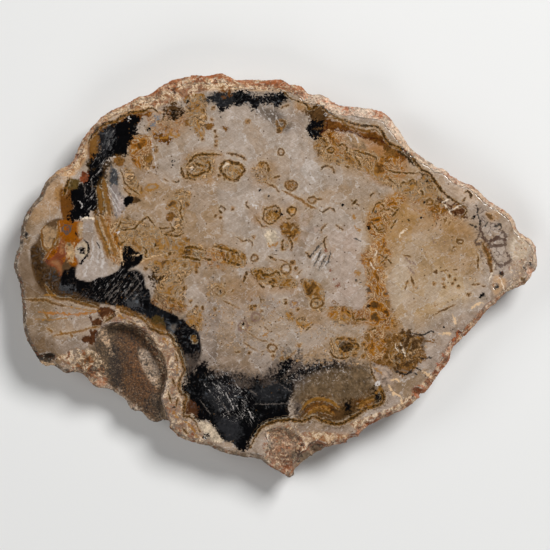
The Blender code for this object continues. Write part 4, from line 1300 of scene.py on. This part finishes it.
class Board:
    """The node tree of one material."""

    def __init__(self, material):
        material.use_nodes = True
        self.tree = material.node_tree
        self.tree.nodes.clear()

    def add(self, kind, settings=None, inputs=None, output=0):
        """Adds one node: its settings first, then the values or links of its sockets."""
        node = self.tree.nodes.new(kind)
        for name, value in (settings or {}).items():
            if name == "stops":
                self.set_stops(node.color_ramp, value)
            else:
                setattr(node, name, value)
        for key, value in (inputs or {}).items():
            if isinstance(value, Wire):
                self.tree.links.new(value.socket, node.inputs[key])
            else:
                node.inputs[key].default_value = value
        return Wire(self, node.outputs[output]) if node.outputs else None

    def set_stops(self, ramp, stops):
        """Gives a colour ramp its places and colours."""
        while len(ramp.elements) < len(stops):
            ramp.elements.new(1.0)
        for element, (place, tint) in zip(ramp.elements, stops):
            element.position = place
            element.color = tint

    def mix(self, factor, a, b, blend="MIX"):
        """Mixes two colours."""
        settings = {"data_type": "RGBA", "blend_type": blend, "clamp_factor": True}
        return self.add("ShaderNodeMix", settings, {0: factor, 6: a, 7: b}, 2)

    def over(self, base, share, name):
        """A colour with one of the stone's colours laid over a share of it."""
        return self.mix(share, base, self.shade(name))

    def shade(self, name):
        """One of the stone's colours, for a colour socket."""
        return (*colour(name), 1.0)

    def attribute(self, name, output="Color"):
        """A vertex attribute of the piece."""
        return self.add("ShaderNodeAttribute", {"attribute_name": name}, {}, output)

    def parts(self, vector):
        """The three numbers of a vector."""
        node = self.tree.nodes.new("ShaderNodeSeparateXYZ")
        self.tree.links.new(vector.socket, node.inputs[0])
        return [Wire(self, node.outputs[i]) for i in range(3)]

    def shifted(self, spot, seed):
        """The same place in another part of the noise."""
        return self.add("ShaderNodeVectorMath", {"operation": "ADD"},
                        {0: spot, 1: (seed * 17.3, seed * -9.1, seed * 5.7)})

    def noise(self, spot, size, seed, detail=2.0, roughness=0.5, distortion=0.0):
        """Noise whose lumps are about one size wide."""
        inputs = {"Vector": self.shifted(spot, seed), "Scale": 1 / size, "Detail": detail,
                  "Roughness": roughness, "Distortion": distortion}
        return self.add("ShaderNodeTexNoise", {}, inputs)

    def turned(self, spot, degrees, length, width):
        """The same place, turned and squeezed, so that noise on it draws streaks."""
        inputs = {"Vector": spot, "Rotation": (0, 0, math.radians(degrees)),
                  "Scale": (length, width, width)}
        return self.add("ShaderNodeMapping", {"vector_type": "TEXTURE"}, inputs)

    def warped(self, spot, reach, seed):
        """The same place, pushed about by noise, so that straight edges wander."""
        push = self.add("ShaderNodeTexNoise", {}, {"Vector": self.shifted(spot, seed),
                                                   "Scale": 0.2, "Detail": 4.0}, "Color")
        return self.add("ShaderNodeVectorMath", {"operation": "MULTIPLY_ADD"},
                        {0: push, 1: (reach * 2,) * 3, 2: spot})

    def cells(self, spot, scale, feature="F1"):
        """Angular cells: the distance to each cell's middle or to its edge."""
        return self.add("ShaderNodeTexVoronoi", {"feature": feature},
                        {"Vector": spot, "Scale": scale}, "Distance")

    def squeezed(self, spot, share):
        """The same place with its height squeezed, so that noise runs down the wall."""
        return self.add("ShaderNodeVectorMath", {"operation": "MULTIPLY"},
                        {0: spot, 1: (1, 1, share)})

    def tones(self, shade, red, green, blue):
        """A colour with each of its three parts made stronger or weaker."""
        tone = self.add("ShaderNodeCombineXYZ", {}, {0: red, 1: green, 2: blue})
        return self.mix(1.0, shade, tone, "MULTIPLY")

    def contour(self, value, thin, wide, middle=0.5):
        """Lines where a noise passes its middle value."""
        return abs(value - middle).fade(thin, wide)

    def bands(self, value, *stops):
        """Colour by the value of a noise: pairs of a value and a colour's name."""
        stops = [(place, self.shade(name)) for place, name in stops]
        return self.add("ShaderNodeValToRGB", {"stops": stops}, {0: value})


def face_colour(board, spot):
    """Colour of the polished face, and of the rough stone before its grains."""
    fine = board.noise(spot, 1.4, 1, 3.0, 0.6)
    small = board.noise(spot, 3.0, 16, 4.0, 0.62, 0.8)
    mid = board.noise(spot, 6.0, 2, 4.0, 0.58, 0.8)
    broad = board.noise(spot, 20.0, 3, 4.0, 0.55, 1.0)
    ragged = ((board.noise(spot, 2.6, 4, 4.0, 0.68) - 0.5) * 12
              + (board.noise(spot, 9.0, 5) - 0.5) * 7)
    lace, moss, cloud = board.parts(board.attribute("habits_0", "Vector"))
    fall, rise, frost = board.parts(board.attribute("habits_1", "Vector"))
    shell, net, sand = board.parts(board.attribute("habits_2", "Vector"))

    # Cloudy ground of angular cells, with fine fibres and pale veins
    shade = board.attribute("ground")
    pale = board.parts(shade)[2].ramp(0.02, 0.11)
    veil = board.noise(spot, 12.0, 6, 6.0, 0.60, 1.6)
    shade = board.over(shade, veil.ramp(0.50, 0.62) * 0.26 * pale, "heart_tan")
    shade = board.over(shade, broad.ramp(0.50, 0.64) * 0.30 * pale, "heart_pale")
    crazed = board.warped(spot, 5.0, 32)
    pick = board.parts(board.cells(crazed, CRAZING).other("Color"))[0]
    shade = board.over(shade, pick.ramp(0.66, 0.68) * 0.40 * pale, "heart_pale")
    shade = board.over(shade, pick.fade(0.30, 0.32) * 0.36 * pale, "heart_tan")
    fibre = board.noise(board.turned(spot, -38.0, 9.0, 0.9), 1.0, 17, 3.0, 0.6)
    grain = board.noise(board.turned(spot, 30.0, 8.0, 0.8), 1.0, 33, 3.0, 0.6)
    tone = ((fine - 0.5) * 0.45 + (small - 0.5) * 0.6 + (mid - 0.5) * 0.45 + (broad - 0.5) * 0.8
            + (fibre - 0.5) * 0.5 + (grain - 0.5) * 0.5)
    shade = board.tones(shade, 1.0 + tone, 1.0 + tone * 1.08, 1.0 + tone * 1.25)
    vein = board.noise(spot, 13.0, 9, 6.0, 0.64, 1.4)
    patchy = board.noise(spot, 8.0, 12, 2.0).ramp(0.42, 0.60)
    shade = board.over(shade, board.contour(vein, 0.002, 0.012) * patchy * pale * 0.45, "milk")
    seam = board.cells(crazed, CRAZING, "DISTANCE_TO_EDGE")
    shade = board.over(shade, seam.fade(0.0, 0.035) * small.ramp(0.46, 0.56) * 0.5 * pale, "milk")
    shade = board.over(shade, grain.ramp(0.58, 0.66) * mid.ramp(0.48, 0.56) * 0.3 * pale, "milk")
    shade = board.over(shade, board.contour(mid, 0.001, 0.010, 0.42) * (1 - patchy) * 0.5,
                       "heart_dark")

    # Patches with crisp, ragged edges
    for number in reversed(range(SHEET_COUNT)):
        depth, softness, rag = board.parts(board.attribute("sheet_%d" % number, "Vector"))
        cover = ((depth + ragged * rag) / softness).ramp(-1.0, 1.0)
        tint = board.attribute("sheet_tint_%d" % number)
        tone = 1.0 + (small - 0.5) * 2.2 + (mid - 0.5) * 2.0
        shade = board.mix(cover, shade, board.tones(tint, tone, tone, tone * 1.04))

    # Lace of brown, ochre and cream, amber moss, and the shell-like bands of the crust
    light = board.parts(shade)[1].ramp(0.012, 0.035)
    web = board.noise(spot, 14.0, 7, 5.0, 0.60, 0.8) + (small - 0.5) * 0.20
    edge = (small - 0.5) * 1.6 + (mid - 0.5) * 1.2
    deep = (lace - 0.8).most(0.0) * 0.16
    lacework = board.bands(web - deep, (0.30, "umber"), (0.37, "honey"), (0.42, "ochre"),
                           (0.455, "heart_tan"), (0.475, "bistre"), (0.49, "cream_dull"),
                           (0.51, "ochre"), (0.54, "tan"), (0.565, "umber"), (0.585, "honey"),
                           (0.60, "cream"), (0.625, "ochre"), (0.66, "bistre"), (0.70, "tan"))
    shade = board.mix((lace + edge - 0.40).ramp(0.0, 0.30) * 0.92 * light, shade, lacework)
    mossy = board.bands(web, (0.34, "umber"), (0.41, "russet"), (0.45, "amber"), (0.48, "ochre"),
                        (0.50, "cream_dull"), (0.515, "russet"), (0.54, "flame"), (0.56, "tan"),
                        (0.585, "cream"), (0.60, "chestnut"), (0.64, "honey"), (0.70, "ochre"))
    shade = board.mix((moss + edge - 0.35).ramp(0.0, 0.30) * 0.85 * light, shade, mossy)
    leaf = board.noise(spot, 8.0, 19, 6.0, 0.68, 0.6)
    shelly = board.bands(leaf, (0.35, "liver"), (0.41, "russet"), (0.435, "rim_orange"),
                         (0.465, "rind_deep"), (0.50, "rind_warm"), (0.53, "cream"),
                         (0.56, "ivory"), (0.59, "rind_warm"), (0.615, "rim_orange"),
                         (0.65, "umber"))
    shade = board.mix((shell + edge - 0.35).ramp(0.0, 0.40) * 0.75, shade, shelly)

    # Brown netting near the tip, and a few chestnut crumbs
    strands = board.cells(board.warped(spot, 3.0, 31), NETTING, "DISTANCE_TO_EDGE")
    shade = board.over(shade, strands.fade(0.0, 0.10) * (net + edge - 0.3).ramp(0.0, 0.3) * 0.8,
                       "mauve_dark")
    crumb = board.cells(spot, CRUMBS)
    chance = board.parts(crumb.other("Color"))[0]
    shade = board.over(shade, crumb.fade(0.10, 0.26) * (chance + lace * 0.3).ramp(0.84, 0.88),
                       "chestnut")

    # Smoke, streaks and crystals in the dark agate
    drift = board.noise(spot, 8.0, 10, 4.0, 0.55, 2.2) + (fine - 0.5) * 0.08
    smoky = board.bands(drift, (0.30, "umber"), (0.37, "ink"), (0.50, "ink"), (0.55, "charcoal"),
                        (0.59, "slate"), (0.605, "smoke"), (0.62, "charcoal"), (0.70, "blue_grey"))
    shade = board.mix((cloud + edge * 0.6 - 0.3).ramp(0.0, 0.5) * 0.8, shade, smoky)
    for angle, weight, seed in ((-52.0, fall, 13), (52.0, rise, 14)):
        streak = board.noise(board.turned(spot, angle, 7.0, 0.9), 1.0, seed, 4.0, 0.6)
        shade = board.over(shade, streak.ramp(0.54, 0.68) * weight * small.ramp(0.44, 0.60) * 0.7,
                           "milk")
    crystal = board.noise(spot, 1.4, 15, 3.0, 0.6).ramp(0.56, 0.64)
    shade = board.over(shade, crystal * mid.ramp(0.46, 0.58) * frost * 0.8, "milk")

    # Lines and dots, each dark one in a stain of ochre
    wobble = (board.noise(spot, 2.4, 18, 3.0, 0.65) - 0.5) * 4.5
    for number in range(LINE_SET_COUNT):
        side, strength, width = board.parts(board.attribute("line_%d" % number, "Vector"))
        tint = board.attribute("line_tint_%d" % number)
        stain = tint.other("Alpha")
        away = abs(side + wobble)
        keep = (small + strength * 0.9).ramp(0.92, 1.10)
        halo = abs(away - width * 3.2).fade(0.2, 1.0) * small.ramp(0.44, 0.54)
        shade = board.over(shade, halo * strength * stain * 0.5, "cream_dull")
        soak = (away - width * 2.0).fade(-1.2, 1.2) * strength * stain * (mid + 0.25)
        shade = board.over(shade, soak, "ochre")
        cover = (away - width * (0.4 + small.ramp(0.40, 0.60) * 1.6)).fade(-0.5, 0.5)
        shade = board.mix(cover * strength * keep, shade, tint)
    return shade, ragged, fine, sand, shell


def stone_material():
    """The whole stone: polished face with its markings, rough crust and sand, wall and back."""
    material = bpy.data.materials.new("agatised_wood")
    board = Board(material)
    where = board.add("ShaderNodeTexCoord", {}, {}, "Object")
    height = board.parts(where)[2]
    spot = board.add("ShaderNodeVectorMath", {"operation": "SCALE"}, {0: where, 3: 1 / UNIT})
    shade, ragged, fine, sand, shell = face_colour(board, spot)

    polish = (board.attribute("polish", "Fac") + ragged * 0.25).ramp(-0.4, 0.4)
    polish = polish * height.ramp(*TOP_FADE)
    back = height.fade(*BACK_FADE)
    wall = height.fade(*WALL_FADE) * sand.fade(0.0, 0.3)

    # Crumbly crust with painted shade in its crevices, sand in the hollow, and an orange rim at the
    # polished face's edge
    grit = board.noise(spot, 2.2, 20, 4.0, 0.7)
    lump = board.noise(spot, 8.0, 21, 3.0, 0.6)
    crust = 1 - sand
    tone = 0.92 + (grit - 0.5) * (2.6 + sand * 3.0) + (lump - 0.5) * 1.8
    rough = board.tones(shade, tone, tone * 0.98, tone * 0.95)
    rough = board.over(rough, board.noise(spot, 7.0, 22, 4.0, 0.65).ramp(0.54, 0.62) * 0.45 * crust,
                       "rim_orange")
    rough = board.over(rough, board.noise(spot, 4.5, 24, 4.0, 0.6).ramp(0.54, 0.64) * 0.5 * crust,
                       "ivory")
    rough = board.over(rough, fine.ramp(0.57, 0.64) * sand * 0.5, "chalk")
    crevice = board.noise(spot, 5.0, 23, 5.0, 0.62)
    # Thin umber lines along the crevices: painted shade between the crust's lumps
    rough = board.over(rough, board.contour(crevice, 0.004, 0.022, 0.46) * 0.6, "umber")
    rim = height.fade(*RIM_FADE) * crevice.ramp(0.42, 0.52) * shell.ramp(0.1, 0.6)
    rough = board.over(rough, rim * crust * 0.7, "rim_orange")

    # Bark wall, whose marks run down it
    down = board.squeezed(spot, 0.14)
    fibre = board.noise(down, 2.2, 25, 4.0, 0.65)
    bark = board.mix(fibre.ramp(0.36, 0.64), board.shade("umber"), board.shade("rind_warm"))
    bark = board.over(bark, board.noise(down, 6.0, 26, 3.0).ramp(0.50, 0.64) * 0.7, "rust")
    bark = board.over(bark, board.noise(down, 11.0, 27, 3.0).ramp(0.50, 0.60) * 0.7, "chalk")
    bark = board.over(bark, board.noise(spot, 2.0, 28, 3.0).ramp(0.60, 0.70) * 0.5, "ivory")
    rough = board.mix(wall, rough, bark)

    # Sawn back, with the saw's straight marks
    saw = board.noise(board.turned(spot, 18.0, 160.0, 0.9), 1.0, 29, 2.0)
    tone = 0.80 + saw * 0.4
    sawn = board.tones(board.mix(0.42, shade, board.shade("rind_deep")), tone, tone, tone)
    colours = board.mix(polish, rough, shade)
    colours = board.mix(back, colours, sawn)

    gloss = 0.80 - polish * 0.66 - back * 0.22 + (fine - 0.5) * 0.05
    rubble = (grit + board.noise(spot, 4.0, 30, 2.0)) * (1 - polish) * (1 - back)
    bump = board.add("ShaderNodeBump", {}, {"Strength": 1.0, "Distance": RELIEF,
                                            "Height": rubble + saw * back * 0.15})
    shader = board.add("ShaderNodeBsdfPrincipled", {}, {
        "Base Color": colours, "Roughness": gloss, "IOR": QUARTZ_IOR, "Normal": bump})
    board.add("ShaderNodeOutputMaterial", {}, {"Surface": shader})
    return material


class SLICE_OT_finish(bpy.types.Operator):
    """Give the slab its stone finish"""

    bl_idname = "slice.finish"
    bl_label = "Stone finish"

    def execute(self, context):
        piece = bpy.data.objects[PIECE]
        piece.data.materials.clear()
        piece.data.materials.append(stone_material())
        return {"FINISHED"}


def aim(item, target):
    """Turns a light or camera towards a place."""
    way = Vector(target) - item.location
    item.rotation_euler = way.to_track_quat("-Z", "Y").to_euler()


def softbox(name, azimuth, elevation, size, power):
    """Square soft light that faces the slab from an azimuth and elevation in degrees."""
    bpy.ops.object.light_add(type="AREA")
    lamp = bpy.context.object
    lamp.name = name
    lamp.data.size = size
    lamp.data.energy = power
    a = math.radians(azimuth)
    e = math.radians(elevation)
    lamp.location = Vector((math.cos(a) * math.cos(e), math.sin(a) * math.cos(e),
                            math.sin(e))) * LAMP_DISTANCE
    aim(lamp, (0, 0, FACE))


class SLICE_OT_stage(bpy.types.Operator):
    """Set the plain floor, the soft lights and the camera that looks straight down"""

    bl_idname = "slice.stage"
    bl_label = "Stage"

    def execute(self, context):
        setup = context.scene.slice_stage
        deselect()
        bpy.ops.mesh.primitive_plane_add(size=setup.floor_width, location=(0, 0, CAD_LOW.z))
        floor = bpy.context.object
        floor.name = "floor"
        material = bpy.data.materials.new("pale_floor")
        board = Board(material)
        where = board.add("ShaderNodeTexCoord", {}, {}, "Object")
        cloud = board.noise(where, 0.4, 1)
        tint = board.mix(cloud, FLOOR_DARK, FLOOR_PALE)
        shader = board.add("ShaderNodeBsdfPrincipled", {}, {"Base Color": tint, "Roughness": 0.9})
        board.add("ShaderNodeOutputMaterial", {}, {"Surface": shader})
        floor.data.materials.append(material)

        softbox("key", 48, 46, 0.9, setup.key_power)
        softbox("fill_left", 165, 38, 1.2, setup.fill_power)
        softbox("fill_front", 270, 36, 1.2, setup.fill_power)
        world = bpy.data.worlds.new("dim_studio")
        world.use_nodes = True
        glow = world.node_tree.nodes["Background"].inputs
        glow["Color"].default_value = (1, 1, 1, 1)
        glow["Strength"].default_value = WORLD_LIGHT
        context.scene.world = world

        bpy.ops.object.camera_add(location=(0, 0, setup.view_height), rotation=(0, 0, 0))
        camera = bpy.context.object
        camera.name = "camera"
        camera.data.sensor_width = SENSOR
        camera.location.x = CAD_LOW.x + (VIEW_MIDDLE - LAYOUT_LEFT) * UNIT
        camera.location.y = CAD_HIGH.y - (VIEW_MIDDLE - LAYOUT_TOP) * UNIT
        camera.data.lens = SENSOR * (setup.view_height - FACE) / setup.view_width
        context.scene.camera = camera
        context.scene.view_settings.view_transform = "Standard"
        return {"FINISHED"}


class SLICE_PT_panel(bpy.types.Panel):
    """Lists the slice's steps"""

    bl_label = "Petrified Wood"
    bl_idname = "SLICE_PT_panel"
    bl_space_type = "VIEW_3D"
    bl_region_type = "UI"
    bl_category = "Petrified Wood"

    def draw(self, context):
        for step in (SLICE_OT_slab, SLICE_OT_markings, SLICE_OT_finish, SLICE_OT_stage):
            self.layout.operator(step.bl_idname)
        for group in ("slice_shape", "slice_colours", "slice_stage"):
            settings = getattr(context.scene, group)
            for name in settings.bl_rna.properties.keys()[BUILT_IN:]:
                self.layout.prop(settings, name)


CLASSES = (SliceShape, SliceColours, StageSetup, SLICE_OT_slab, SLICE_OT_markings,
           SLICE_OT_finish, SLICE_OT_stage, SLICE_PT_panel)


def register():
    """Registers the add-on's classes and settings."""
    for item in CLASSES:
        bpy.utils.register_class(item)
    scene = bpy.types.Scene
    scene.slice_shape = bpy.props.PointerProperty(type=SliceShape)
    scene.slice_colours = bpy.props.PointerProperty(type=SliceColours)
    scene.slice_stage = bpy.props.PointerProperty(type=StageSetup)


def unregister():
    """Removes the add-on's settings and classes."""
    for name in ("slice_shape", "slice_colours", "slice_stage"):
        delattr(bpy.types.Scene, name)
    for item in reversed(CLASSES):
        bpy.utils.unregister_class(item)


def main():
    """Builds the slice and its stage, and writes down both boxes."""
    register()
    bpy.ops.slice.slab()
    bpy.ops.slice.markings()
    bpy.ops.slice.finish()
    bpy.ops.slice.stage()


if __name__ == "__main__":
    main()
